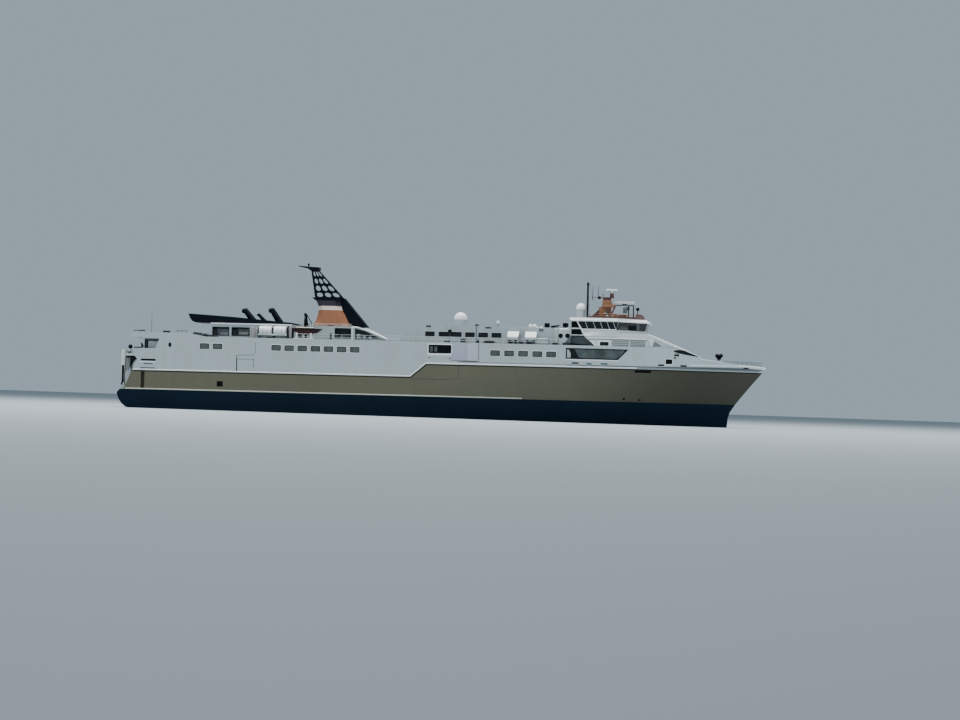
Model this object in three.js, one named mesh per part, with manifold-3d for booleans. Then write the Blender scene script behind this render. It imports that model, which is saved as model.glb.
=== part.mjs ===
// Passenger ferry with a stern ramp and waterjets, a 1:10 scale model 9.5 m long.
// Millimetres, +X to the bow, +Y to port, +Z up; the origin is amidships on the centre line at the waterline.
// One millimetre of the model is one centimetre of the ship.
import * as THREE from "three";
import { mergeVertices } from "three/addons/utils/BufferGeometryUtils.js";
import Module from "manifold-3d";

const wasm = await Module();
wasm.setup();

// Driving dimensions
const STERN_X = -4750; // aft end of the hull's loft
const KEEL_Z = -390; // flat of the keel
const BELT_Z = 305; // top of the dark lower hull, which is also the vehicle deck
const BAND_AFT_Z = 590; // top of the tan band in the after body
const KNUCKLE_Z = 783; // top of the tan band in the fore body
const SALOON_Z = [797, 832]; // passenger deck plate
const WEATHER_Z = [1045, 1075]; // weather deck plate
const WALL_TOP_Z = 1103; // top edge of the white sides
const BRIDGE_Z = [1250, 1456, 1508]; // wheelhouse floor, wall top and roof top
const GAP = 0.3; // clearance of plates that follow a curved wall
const BAND_WALL = 35; // thickness of the tan shell
const SIDE_WALL = 25; // thickness of the white sides
const HOUSE_WALL = 15; // thickness of the deckhouses' plating

const paint = (hex, roughness = 0.5, metalness = 0) =>
  new THREE.MeshStandardMaterial({ color: hex, roughness, metalness });
const PAINT = {
  dark: paint(0x141d2b),
  tan: paint(0x8d8157),
  white: paint(0xdfe3e4),
  deck: paint(0x6f8178, 0.8),
  black: paint(0x10131a),
  orange: paint(0xc9703f),
  purple: paint(0x4a2f45),
  rose: paint(0xecc9bd),
  mast: paint(0xb5502c),
  red: paint(0x6e2b2c),
  glass: paint(0x1d2a33, 0.1),
  steel: paint(0x8c9196, 0.4, 0.9),
  grey: paint(0x7c8488),
  console: paint(0x33383d),
};

// Basic solids: three.js shapes handed to manifold-3d for joining and cutting
function toSolid(geometry) {
  const bare = geometry.index ? geometry.toNonIndexed() : geometry.clone();
  bare.deleteAttribute("normal");
  bare.deleteAttribute("uv");
  const merged = mergeVertices(bare, 1e-4);
  return new wasm.Manifold(new wasm.Mesh({
    numProp: 3,
    vertProperties: new Float32Array(merged.attributes.position.array),
    triVerts: new Uint32Array(merged.index.array),
  }));
}
const joined = (solids) => solids.reduce((sum, solid) => sum.add(solid));
const cut = (solid, tools) => tools.reduce((left, tool) => left.subtract(tool), solid);

// A polygon in the side view drawn out across the ship, or in plan drawn upwards
function extruded(points, depth) {
  const shape = new THREE.Shape(points.map(([a, b]) => new THREE.Vector2(a, b)));
  return new THREE.ExtrudeGeometry(shape, { depth, bevelEnabled: false, steps: 1 });
}
const fromSide = (xz, y0, y1) => toSolid(extruded(xz, y1 - y0).rotateX(Math.PI / 2).translate(0, y1, 0));
const fromAbove = (xy, z0, z1) => toSolid(extruded(xy, z1 - z0).translate(0, 0, z0));
const rect = (x0, x1, z0, z1) => [[x0, z0], [x1, z0], [x1, z1], [x0, z1]];
const across = (xz) => fromSide(xz, -1000, 1000);

// A polygon of half breadth and height on one side, drawn out along the ship
function alongShip(yz, side, x0, x1) {
  const section = extruded(yz.map(([y, z]) => [side * y, z]), x1 - x0);
  return toSolid(section.rotateY(Math.PI / 2).rotateX(Math.PI / 2).translate(x0, 0, 0));
}
function box(x0, x1, y0, y1, z0, z1) {
  const geometry = new THREE.BoxGeometry(x1 - x0, y1 - y0, z1 - z0);
  return toSolid(geometry.translate((x0 + x1) / 2, (y0 + y1) / 2, (z0 + z1) / 2));
}

// A solid through convex rings of points, each listed anticlockwise from above, from the lowest ring up
function lofted(rings) {
  const count = rings[0].length;
  const out = [];
  for (let k = 0; k < rings.length - 1; k++)
    for (let i = 0; i < count; i++) {
      const next = (i + 1) % count;
      const [a, b, c, d] = [rings[k][i], rings[k][next], rings[k + 1][next], rings[k + 1][i]];
      out.push(...a, ...b, ...c, ...a, ...c, ...d);
    }
  const [low, high] = [rings[0], rings.at(-1)];
  for (let i = 1; i < count - 1; i++)
    out.push(...low[0], ...low[i + 1], ...low[i], ...high[0], ...high[i], ...high[i + 1]);
  const geometry = new THREE.BufferGeometry();
  geometry.setAttribute("position", new THREE.Float32BufferAttribute(out, 3));
  return toSolid(geometry);
}

// A round bar or cone between two points, and a ball
function bar(from, to, radius, endRadius = radius, sides = 12) {
  const a = new THREE.Vector3(...from);
  const b = new THREE.Vector3(...to);
  const geometry = new THREE.CylinderGeometry(endRadius, radius, a.distanceTo(b), sides);
  const up = new THREE.Vector3(0, 1, 0);
  const turn = new THREE.Quaternion().setFromUnitVectors(up, b.clone().sub(a).normalize());
  const middle = a.clone().add(b).multiplyScalar(0.5);
  return toSolid(geometry.applyQuaternion(turn).translate(middle.x, middle.y, middle.z));
}
function ball(x, y, z, radius, sides = 20) {
  const geometry = new THREE.SphereGeometry(radius, sides, Math.round(sides / 2));
  return toSolid(geometry.rotateX(Math.PI / 2).translate(x, y, z));
}

// The two sides of the ship, and a span of Y measured outwards from the centre line
const SIDES = [["stbd", -1], ["port", 1]];
const span = (side, near, far) => (side < 0 ? [-far, -near] : [near, far]);

// Hull form: each level's stem, half breadth amidships, start of the taper and its power
const LEVELS = [
  // z, stemX, half, taperX, power
  [-390, 3660, 30, 2700, 2.0],
  [-372, 3900, 330, -1500, 1.5],
  [-335, 4030, 620, -1600, 1.6],
  [-270, 4115, 755, -1600, 1.7],
  [-180, 4165, 812, -1500, 1.8],
  [-80, 4190, 838, -1350, 1.85],
  [20, 4201, 852, -1200, 1.95],
  [103, 4208, 860, -1050, 2.0],
  [186, 4232, 866, -900, 2.05],
  [305, 4308, 870, -700, 2.15],
  [430, 4405, 870, -350, 2.25],
  [590, 4535, 870, 150, 2.4],
  [783, 4697, 870, 800, 2.6],
  [846, 4755, 870, 800, 2.6],
  [1200, 4759, 870, 800, 2.6],
];
const STATIONS = [-4750, -3600, -2600, -1600, -1300, -1000, -700, -400, -100];
for (let x = 150; x <= 4590; x += 185) STATIONS.push(x);
STATIONS.push(4660, 4697);

function halfBreadth([, stemX, half, taperX, power], x) {
  if (x <= taperX) return half;
  return half * (1 - Math.min(1, (x - taperX) / (stemX - taperX)) ** power);
}

// The hull's outer form, or the same form set in by a wall's thickness
function hullForm(inset = 0, zLow = KEEL_Z, zHigh = 1200) {
  const rows = LEVELS.filter(([z]) => z >= zLow && z <= zHigh);
  const positions = [];
  const at = (i, j, side) => {
    const row = rows[j];
    const share = (STATIONS[i] - STERN_X) / (4697 - STERN_X);
    const x = STERN_X + share * (row[1] - STERN_X - inset * 2.2);
    const least = inset ? 3 : 5;
    return [x, side * Math.max(least, halfBreadth(row, x) - inset), row[0]];
  };
  const quad = (a, b, c, d) => positions.push(...a, ...b, ...c, ...a, ...c, ...d);
  const n = STATIONS.length - 1;
  const m = rows.length - 1;
  for (let i = 0; i < n; i++) {
    for (let j = 0; j < m; j++) {
      quad(at(i, j, -1), at(i + 1, j, -1), at(i + 1, j + 1, -1), at(i, j + 1, -1));
      quad(at(i, j, 1), at(i, j + 1, 1), at(i + 1, j + 1, 1), at(i + 1, j, 1));
    }
    quad(at(i, 0, -1), at(i, 0, 1), at(i + 1, 0, 1), at(i + 1, 0, -1));
    quad(at(i, m, -1), at(i + 1, m, -1), at(i + 1, m, 1), at(i, m, 1));
  }
  for (let j = 0; j < m; j++) {
    quad(at(0, j, -1), at(0, j + 1, -1), at(0, j + 1, 1), at(0, j, 1));
    quad(at(n, j, -1), at(n, j, 1), at(n, j + 1, 1), at(n, j + 1, -1));
  }
  const geometry = new THREE.BufferGeometry();
  geometry.setAttribute("position", new THREE.Float32BufferAttribute(positions, 3));
  return toSolid(geometry);
}
const outer = hullForm();

// A layer of the hull's skin between two depths, bounded by a polygon in the side view
const skin = (depth0, depth1, xz) => hullForm(depth0).subtract(hullForm(depth1)).intersect(across(xz));

// Plan outline of the decks above the knuckle, from x0 forward to x1, set in from the shell
function deckOutline(x0, x1, inset) {
  const row = LEVELS.find(([z]) => z === KNUCKLE_Z);
  const xs = [x0, ...STATIONS.filter((x) => x > Math.max(x0, 700) && x < x1), x1];
  const half = xs.map((x) => Math.max(2, halfBreadth(row, x) - inset));
  const starboard = xs.map((x, i) => [x, -half[i]]);
  return [...starboard, ...starboard.map(([x, y]) => [x, -y]).reverse()];
}

// Dark lower hull with the raised stern overhang above the jets and the rising bottom aft
function hullLower() {
  const sternCut = [[-4900, -600], [-4500, -600], [-4500, 20], [-4612, 44], [-4668, 90], [-4714, 158],
    [-4744, 246], [-4738, 262], [-4686, 320], [-4900, 320]];
  const riseCut = [[-4900, -600], [700, -600], [620, KEEL_Z], [-4500, -150], [-4900, -150]];
  const body = outer.intersect(across(rect(-5000, 5000, -600, BELT_Z)));
  return cut(body, [across(sternCut), across(riseCut)]);
}

// Tan shell round the vehicle deck: open at the stern, solid in the bow, with shallow pockets
const BAND_PROFILE = [[-4644, BELT_Z], [4900, BELT_Z], [4900, KNUCKLE_Z], [-148, KNUCKLE_Z],
  [-376, BAND_AFT_Z], [-4522, BAND_AFT_Z]];
const BAND_POCKETS = [
  // x0, x1, z0, z1
  [-4386, -4330, 322, 570],
  [-3240, -3150, 374, 454],
  [2870, 3105, 732, 770],
];
function hullBand() {
  const hold = hullForm(BAND_WALL, 305, 846).intersect(across(rect(-5000, 3300, BELT_Z - 5, 900)));
  const pockets = BAND_POCKETS.map((p) => skin(-4, 14, rect(...p)));
  return cut(outer.intersect(across(BAND_PROFILE)), [hold, ...pockets]);
}

// White sides from the tan band up to the wall top, with the stern cut-outs, windows and pockets
const SIDE_PROFILE = [[-4522, BAND_AFT_Z], [-376, BAND_AFT_Z], [-148, KNUCKLE_Z], [4900, KNUCKLE_Z],
  [4900, 838], [4755, 846], [4430, 880], [4130, 925], [3820, 970], [3490, WALL_TOP_Z], [-3431, WALL_TOP_Z],
  [-3431, 1075], [-4370, 1075], [-4370, 1062], [-4120, 1060], [-4180, 917], [-4365, 912], [-4510, 912],
  [-4513, 835], [-4650, 833], [-4650, 797], [-4490, 800], [-4450, 756]];
const DOOR = { x: [-2948, -2696], z: [604, 790], hinge: -2700 };
const BIG_WINDOW = rect(-117, 219, 939, 1064);
const LOUNGE_WINDOW = [[1880, 1063], [2780, 1063], [2630, 905], [1880, 905]];
const SIDE_POCKETS = [
  // x0, x1, z0, z1
  [-4393, -4168, 728, 758],
  [-4345, -4212, 676, 696],
  [-4396, -4171, 612, 632],
  [1968, 2072, 836, 858],
  [2184, 2256, 832, 850],
  [2382, 2486, 836, 854],
  [3203, 3289, 838, 862],
  [3520, 3612, 836, 860],
  [4426, 4499, 822, 846],
  [3311, 3404, 868, 938],
  [3425, 3503, 984, 1014],
];
function sideWall(side) {
  const half = box(-5000, 5000, ...span(side, 0, 1000), 500, 1250);
  const body = outer.subtract(hullForm(SIDE_WALL, 590, 1200)).intersect(across(SIDE_PROFILE));
  const pockets = SIDE_POCKETS.map((p) => skin(-4, 9, rect(...p)));
  const openings = [rect(...DOOR.x, ...DOOR.z), BIG_WINDOW, LOUNGE_WINDOW].map(across);
  const wall = cut(body.intersect(half), [...openings, ...pockets]);
  return joined([wall, ...knuckles(side, [[645, 664], [730, 749]], DOOR.x[1] + 4)]);
}

// Hinge barrels at the door's forward edge, each with an arm to the piece that carries it
function knuckles(side, spans, armX) {
  return spans.flatMap(([z0, z1]) => [
    bar([DOOR.hinge, side * 869, z0], [DOOR.hinge, side * 869, z1], 4, 4, 12),
    box(Math.min(DOOR.hinge, armX), Math.max(DOOR.hinge, armX), ...span(side, 866, 872), z0, z1)]);
}
function shellDoor(side) {
  const [x0, x1] = [DOOR.x[0] + 6, DOOR.x[1] - 10];
  const panel = box(x0, x1, ...span(side, 850, 868), DOOR.z[0] + 6, DOOR.z[1] - 6);
  return joined([panel, ...knuckles(side, [[625, 644.5], [710, 729.5]], x1 - 4)]);
}

// Panes set in the wall's thickness, clear of the opening's edge by the gap
function wallPane(side, outline) {
  const xs = outline.map(([x]) => x);
  const zs = outline.map(([, z]) => z);
  const [cx, cz] = [(Math.min(...xs) + Math.max(...xs)) / 2, (Math.min(...zs) + Math.max(...zs)) / 2];
  const shrunk = outline.map(([x, z]) => [x + (x < cx ? 1 : -1) * GAP * 1.5, z + (z < cz ? 1 : -1) * GAP]);
  return skin(13, 20, shrunk).intersect(box(-5000, 5000, ...span(side, 100, 1000), 500, 1250));
}

// Decks inside the white sides
const saloonDeck = () => fromAbove(deckOutline(-4650, 4600, SIDE_WALL + GAP), ...SALOON_Z);
const weatherDeck = () => fromAbove(deckOutline(-4350, 3040, SIDE_WALL + GAP), ...WEATHER_Z);

// Transom bulkhead with the ramp's portal, hinge lugs and pins
const RAMP = { half: 700, x: [-4732, -4682], z: [330, 893], pivot: [-4707, 345] };
function transomFrame() {
  const plate = box(-4515, -4480, -834.5, 834.5, BELT_Z, SALOON_Z[0]);
  const posts = [-1, 1].map((side) => box(-4650, -4570, ...span(side, 708, 762), BELT_Z, SALOON_Z[0]));
  const webs = [-1, 1].map((side) => box(-4575, -4480, ...span(side, 708, 724), BELT_Z, SALOON_Z[0]));
  const beam = box(-4650, -4480, -762, 762, 767, SALOON_Z[0]);
  const doorway = box(-4560, -4400, -708, 708, BELT_Z - 5, 767);
  const [pivotX, pivotZ] = RAMP.pivot;
  const lugs = [-1, 1].flatMap((side) => [
    box(-4728, -4640, ...span(side, 708, 730), BELT_Z, 366),
    bar([pivotX, side * 668, pivotZ], [pivotX, side * 720, pivotZ], 9, 9, 16)]);
  return joined([cut(plate, [doorway]), ...posts, ...webs, beam, ...lugs]);
}

// Aft screen of the saloon, recessed from the sides under the visor
function aftScreen() {
  const ring = [[-4365, -790], [-4110, -790], [-4110, -844], [-4095, -844], [-4095, -775], [-4350, -775],
    [-4350, 775], [-4095, 775], [-4095, 844], [-4110, 844], [-4110, 790], [-4365, 790]];
  return fromAbove(ring, SALOON_Z[1], WEATHER_Z[0]);
}
function visorRoof() {
  const profile = [[-4535, 1075], [-3431, 1075], [-3431, 1104], [-3680, 1150], [-4500, 1150], [-4542, 1136],
    [-4566, 1116], [-4558, 1092]];
  return fromSide(profile, -870, 870);
}

// Stern ramp, upright across the portal, with stiffeners outside and blind bores for the hinge pins
function sternRamp() {
  const plate = box(...RAMP.x, -RAMP.half, RAMP.half, ...RAMP.z);
  const ribs = [-600, -360, -120, 120, 360, 600].map((y) => box(-4744, -4731, y - 12, y + 12, 430, 870));
  const [pivotX, pivotZ] = RAMP.pivot;
  const bores = [-1, 1].map((side) =>
    bar([pivotX, side * 664, pivotZ], [pivotX, side * 710, pivotZ], 9.5, 9.5, 16));
  return cut(joined([plate, ...ribs]), bores);
}

// A deckhouse as a shell open to the deck below, trimmed to a plan outline where one is given
function house(profile, half, openings = [], plan = null) {
  const xs = profile.map(([x]) => x);
  const zs = profile.map(([, z]) => z);
  const [low, high] = [Math.min(...zs), Math.max(...zs)];
  const [cx, cz] = [(Math.min(...xs) + Math.max(...xs)) / 2, (low + high) / 2];
  const sx = 1 - HOUSE_WALL / (Math.max(...xs) - cx);
  const sz = 1 - HOUSE_WALL / (high - cz);
  const inner = profile.map(([x, z]) => [cx + (x - cx) * sx, z === low ? z - 5 : cz + (z - cz) * sz]);
  let body = fromSide(profile, -half, half);
  let room = fromSide(inner, -half + HOUSE_WALL, half - HOUSE_WALL);
  if (plan) {
    const inside = plan.map(([x, y]) => [x, y - Math.sign(y) * HOUSE_WALL]);
    body = body.intersect(fromAbove(plan, 0, 2000));
    room = room.intersect(fromAbove(inside, 0, 2000));
  }
  return cut(body, [room, ...openings]);
}

// Aft deckhouse with two open bays each side
function aftHouse() {
  const bays = [[-3393, -3136], [-3102, -2829]].map(([x0, x1]) => across(rect(x0, x1, 1130, 1258)));
  return house(rect(-3412, -2200, 1075, 1318), 600, bays);
}

// Black exhaust casing lying on the aft deckhouse, with its raked uptakes
const UPTAKES = [
  // top x, top z, base x, base z, top radius, base radius
  [-3014, 1527, -2889, 1375, 30, 36],
  [-2808, 1470, -2712, 1368, 14, 20],
  [-2607, 1542, -2480, 1350, 29, 39],
];
function exhaustCasing() {
  const profile = [[-3847, 1460], [-3822, 1395], [-3789, 1350], [-3738, 1329], [-3432, 1325], [-3425, 1318],
    [-2215, 1318], [-2205, 1338], [-2260, 1352], [-3180, 1424]];
  const y = -90;
  const pipes = UPTAKES.flatMap(([topX, topZ, baseX, baseZ, radius, baseRadius]) => [
    bar([baseX, y, baseZ], [topX, y, topZ], baseRadius, radius, 16),
    ball(topX, y, topZ, radius, 16),
    bar([topX, y, topZ], [topX - radius * 1.4, y, topZ + 2], radius, radius * 0.45, 16)]);
  return joined([fromSide(profile, -260, 260), ...pipes]);
}

// House under the funnel, running out to a narrow nose forward
function funnelHouse() {
  const profile = [[-2140, 1075], [-891, 1075], [-891, 1150], [-1128, 1266], [-1265, 1312], [-1665, 1313],
    [-2140, 1313]];
  const plan = [[-2140, -400], [-1290, -400], [-891, -90], [-891, 90], [-1290, 400], [-2140, 400]];
  const windows = [rect(-1740, -1320, 1134, 1287),
    [[-1290, 1134], [-1290, 1284], [-1150, 1252], [-930, 1140]]];
  return house(profile, 400, windows.map(across), plan);
}

// Funnel blocks: rings of eight points, narrower at the ends, joined up level by level
function funnelBlock(levels) {
  return lofted(levels.map(([z, aft, fore, half]) => {
    const starboard = [[aft, -half * 0.55], [aft + half * 0.45, -half], [fore - half * 0.45, -half],
      [fore, -half * 0.55]];
    return [...starboard, ...starboard.map(([x, y]) => [x, -y]).reverse()].map(([x, y]) => [x, y, z]);
  }));
}
const FUNNEL = [
  // z, aft, fore, half width
  [1313, -1984, -1411, 215],
  [1404, -1934, -1456, 200],
  [1491, -1910, -1500, 185],
  [1560, -1899, -1541, 172],
  [1620, -1904, -1560, 168],
  [1700, -1942, -1575, 165],
];

// Black top of the funnel: collar, open lattice, raked leg, platform and its pointed vane
const LATTICE_ROWS = [[1760, 1822], [1850, 1926], [1958, 2032], [2066, 2138]];
function funnelTop() {
  const collar = fromSide([[-1942, 1700], [-1994, 1744], [-1545, 1742], [-1560, 1700]], -165, 165);
  const leg = fromSide([[-1520, 1742], [-1574.7, 1742], [-1574.7, 1700], [-1559.7, 1620], [-1540.7, 1560],
    [-1499.7, 1491], [-1445, 1404], [-1390, 1338], [-1320, 1313.3], [-1150, 1313.3]], -80, 80);
  const aft = (z) => -1974 - (z - 1735) * 0.168;
  const fore = (z) => -1531 - (z - 1735) * 0.945;
  const [foot, head, rim, margin] = [1735, 2150, 26, 16];
  const crown = [[aft(foot), foot], [aft(head), head], [fore(head), head], [fore(foot), foot]];
  const core = [[aft(foot) + rim, foot], [aft(head) + rim, head - 10], [fore(head) - rim, head - 10],
    [fore(foot) - rim, foot]];
  const holes = LATTICE_ROWS.flatMap(([z0, z1]) => [0, 1, 2].map((k) => {
    const at = (z, share) => aft(z) + margin + (fore(z) - aft(z) - 2 * margin) * share;
    const [s0, s1] = [k / 3 + 0.04, (k + 1) / 3 - 0.04];
    const [low, high, t] = [z0 + (z1 - z0) * 0.25, z1 - (z1 - z0) * 0.25, 0.07];
    return fromSide([[at(z0, s0 + t), z0], [at(z0, s1 - t), z0], [at(low, s1), low], [at(high, s1), high],
      [at(z1, s1 - t), z1], [at(z1, s0 + t), z1], [at(high, s0), high], [at(low, s0), low]], -200, 200);
  }));
  const grid = cut(fromSide(crown, -24, 24), [fromSide(core, -14, 14), ...holes]);
  const vane = fromSide([[-2250, 2222], [-2075, 2206], [-1914, 2198], [-1920, 2146], [-2045, 2146],
    [-2084, 2176], [-2250, 2212]], -100, 100);
  const plan = fromAbove([[-2250, -3], [-2080, -60], [-1914, -75], [-1914, 75], [-2080, 60], [-2250, 3]],
    2000, 2300);
  const knob = [bar([-2089, 0, 2190], [-2089, 0, 2240], 9, 9, 8), ball(-2089, 0, 2241, 18, 12)];
  return joined([collar, leg, grid, vane.intersect(plan), ...knob]);
}

// Forward deckhouse with side windows, and the panes inside them
const HOUSE_WINDOWS = [[-205, -63], [-7, 333], [384, 526], [577, 721], [772, 916]];
function forwardHouse() {
  const profile = [[-586, 1075], [1790, 1075], [1790, 1356], [-404, 1356], [-586, 1120]];
  return house(profile, 640, HOUSE_WINDOWS.map(([x0, x1]) => across(rect(x0, x1, 1190, 1262))));
}
const houseGlass = (side) => box(-230, 940, ...span(side, 617, 625), 1176, 1276);

// Aerial domes on short necks
function dome(x, y, radius, topZ, baseZ) {
  const neck = bar([x, y, baseZ], [x, y, topZ - radius], radius * 0.62);
  return joined([ball(x, y, topZ - radius, radius, 24), neck]);
}

// Bridge: lower house, wheelhouse with its window band, glass, roof and console
const LEAN = 0.28; // how far the wheelhouse's front leans forward for each millimetre of height
function bridgeOutline(z, by = 0) {
  const ahead = (z - 1350) * LEAN;
  const starboard = [[1925, -720], [2330, -735], [2592 + ahead * 1.08, -715 + ahead * 0.083],
    [2984 + ahead, -300]];
  const outline = [...starboard, ...starboard.map(([x, y]) => [x, -y]).reverse()];
  return outline.map(([x, y]) => [2450 + (x - 2450) * (1 - by / 520), y * (1 - by / 700)]);
}
function bridgeSolid(z0, z1, by) {
  return lofted([z0, z1].map((z) => bridgeOutline(z, by).map(([x, y]) => [x, y, z])));
}
function bridgeBase() {
  const body = fromAbove(deckOutline(1960, 3040, 27), WEATHER_Z[1], BRIDGE_Z[0]);
  const rake = [[1900, 1070], [2325, 1070], [2125, 1260], [1900, 1260]];
  const sills = [rect(2364, 2491, 1108, 1164)].map(across);
  const shoulderTop = 1297;
  const shoulder = fromAbove(deckOutline(2600, 3040, 27), BRIDGE_Z[0] - 5, shoulderTop);
  const clearance = fromAbove(bridgeOutline(shoulderTop, -2), BRIDGE_Z[0], 1400);
  const walls = joined([body, cut(shoulder, [clearance])]);
  return cut(walls, [fromSide(rake, 450, 1000), fromSide(rake, -1000, -450), ...sills,
    fromAbove(deckOutline(2340, 3025, 45), WEATHER_Z[1] - 5, BRIDGE_Z[0] - 15),
    box(1975, 2345, -435, 435, WEATHER_Z[1] - 5, BRIDGE_Z[0] - 15)]);
}
const BRIDGE_WINDOWS = {
  z: [1350, 1447],
  rake: 37,
  side: [[2046, 2136], [2152, 2244], [2260, 2349], [2365, 2449], [2465, 2537]],
  facet: [[0.04, 0.4], [0.42, 0.69], [0.71, 0.98]],
  front: [-290, -145, 0, 145, 290],
  wing: [[[1946, 1361], [2056, 1361], [2021, 1447], [1946, 1447]],
    [[1946, 1264], [2108, 1264], [2076, 1340], [1946, 1340]]],
};
function wheelhouse() {
  const { z: [z0, z1], rake, side: spans, facet, front: edges, wing } = BRIDGE_WINDOWS;
  const sides = spans.map(([a, b]) => across([[a + rake, z0], [b + rake, z0], [b, z1], [a, z1]]));
  const fronts = edges.slice(1).map((b, i) => box(2920, 3100, edges[i] + 7, b - 7, z0, z1));
  const [, , [cornerX], [frontX]] = bridgeOutline((z0 + z1) / 2);
  const facets = SIDES.flatMap(([, side]) => facet.map((range) => {
    const at = (t, depth) => [cornerX + (frontX - cornerX) * t + 0.72 * depth,
      side * (714 - 414 * t + 0.69 * depth)];
    return fromAbove([at(range[0], -45), at(range[0], 45), at(range[1], 45), at(range[1], -45)], z0, z1);
  }));
  const aft = [[-640, -360], [360, 640]].map(([a, b]) => box(1880, 1980, a, b, 1285, z1));
  const room = bridgeSolid(BRIDGE_Z[0] + 15, BRIDGE_Z[1] + 5, HOUSE_WALL);
  const walls = bridgeSolid(...BRIDGE_Z.slice(0, 2), 0);
  return cut(walls, [room, ...sides, ...facets, ...fronts, ...wing.map(across), ...aft]);
}
function wheelhouseGlass() {
  const band = bridgeSolid(BRIDGE_Z[0] + 16, BRIDGE_Z[1] - 1, HOUSE_WALL + 0.4);
  return cut(band, [bridgeSolid(BRIDGE_Z[0], BRIDGE_Z[1] + 5, HOUSE_WALL + 7)]);
}

// Bridge roof with a brim that slopes down over the front windows
const ROOF = [
  // z, aft, fore, half width
  [BRIDGE_Z[1], 1938, 3036, 738],
  [BRIDGE_Z[1] + 12, 1931, 3062, 747],
  [BRIDGE_Z[2], 1905, 2990, 728],
];
function wheelhouseRoof() {
  return lofted(ROOF.map(([z, aft, fore, half]) => {
    const starboard = [[aft, -half], [2330, -half - 15], [2605, -half + 8], [fore, -315]];
    return [...starboard, ...starboard.map(([x, y]) => [x, -y]).reverse()].map(([x, y]) => [x, y, z]);
  }));
}
function bridgeConsole() {
  return fromSide([[2760, 1265], [2880, 1265], [2880, 1320], [2840, 1350], [2760, 1335]], -260, 260);
}

// Raked front of the superstructure over the foredeck, with its cheeks and their window recesses
function frontFairing() {
  const ridge = [[3040, 1292], [3130, 1268], [3490, 1122], [3820, 972]];
  const roof = [[3040, 1075], ...ridge, [3822, SALOON_Z[1]], [3800, SALOON_Z[1]], [3800, 958], [3480, 1102],
    [3120, 1250], [3060, 1262], [3060, 1075]];
  const cheek = [[3040, 1040], ...ridge, [3820, 935], [3480, 1040]];
  const plan = (inset) => fromAbove(deckOutline(3000, 3900, SIDE_WALL + GAP + inset), 800, 1400);
  const recess = across([[3117, 1113], [3144, 1188], [3254, 1120]]).subtract(plan(7));
  const cheeks = across(cheek).subtract(plan(HOUSE_WALL));
  return cut(joined([across(roof), cheeks]).intersect(plan(0)), [recess]);
}

// Bridge-top masts, scanners and the deck they stand on
function mainMast() {
  const z = BRIDGE_Z[2];
  return joined([bar([2110, 0, z], [2110, 0, 2058], 12, 8), bar([2110, 0, z], [2110, 0, z + 40], 28, 20),
    bar([2085, 0, 2028], [2140, 0, 2028], 4, 4, 8), bar([2110, -60, 1960], [2110, 60, 1960], 4, 4, 8)]);
}
function radarMast() {
  const z = BRIDGE_Z[2];
  const plan = [[2150, -260], [2600, -330], [2815, -210], [2815, 210], [2600, 330], [2150, 260]];
  const deck = fromAbove(plan, z, z + 22);
  const trunk = fromSide([[2286, z + 18], [2462, z + 18], [2462, 1700], [2286, 1700]], -46, 46);
  const buttress = fromSide([[2150, z + 18], [2292, z + 18], [2292, 1672]], -30, 30);
  const shelf = fromSide([[2353, 1697], [2500, 1697], [2522, 1716], [2522, 1737], [2325, 1737]], -85, 85);
  const block = fromSide([[2330, 1730], [2470, 1730], [2455, 1834], [2340, 1834]], -40, 40);
  const top = box(2325, 2500, -52, 52, 1830, 1842);
  const motors = [box(2438, 2494, -24, 24, 1840, 1902), box(2622, 2688, -30, 30, 1733, 1750),
    box(2622, 2688, -76, 76, 1722, 1734)];
  const brace = fromSide([[2450, 1575], [2470, 1575], [2532, 1712], [2505, 1712]], -12, 12);
  const rail = (x0, y0, z0, x1, y1, z1, r = 6) => bar([x0, y0, z0], [x1, y1, z1], r, r, 8);
  const frame = [rail(2510, -70, 1728, 2790, -70, 1728), rail(2510, 70, 1728, 2790, 70, 1728),
    rail(2790, -76, 1728, 2790, 76, 1728), rail(2790, -70, z + 10, 2790, -70, 1728),
    rail(2790, 70, z + 10, 2790, 70, 1728), rail(2716, -70, z + 10, 2716, -70, 1728),
    rail(2716, 70, z + 10, 2716, 70, 1728)];
  const yard = [rail(2165, 0, 1838, 2345, 0, 1835, 5), ball(2293, 0, 1832, 16, 12),
    rail(2334, 0, 1836, 2334, 0, 1882, 4), ball(2334, 0, 1884, 9, 12)];
  return joined([deck, trunk, buttress, shelf, block, top, brace, ...motors, ...frame, ...yard]);
}
function scanner(x, z, rise, half, degrees) {
  const bearing = (degrees * Math.PI) / 180;
  const beam = new THREE.BoxGeometry(2 * half, 24, 20).rotateZ(bearing).translate(x, 0, z + rise);
  return joined([bar([x, 0, z], [x, 0, z + rise], 16, 16, 16), toSolid(beam)]);
}
function searchlight() {
  const z = BRIDGE_Z[2];
  const cowl = fromSide([[2826, z], [2962, z], [2958, z + 34], [2932, z + 76], [2900, z + 90], [2846, z + 94],
    [2828, z + 84]], -70, 70);
  return joined([cowl, bar([2852, 0, z + 60], [2852, 0, 1670], 7, 7, 8), ball(2852, 0, 1675, 19, 16)]);
}

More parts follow.
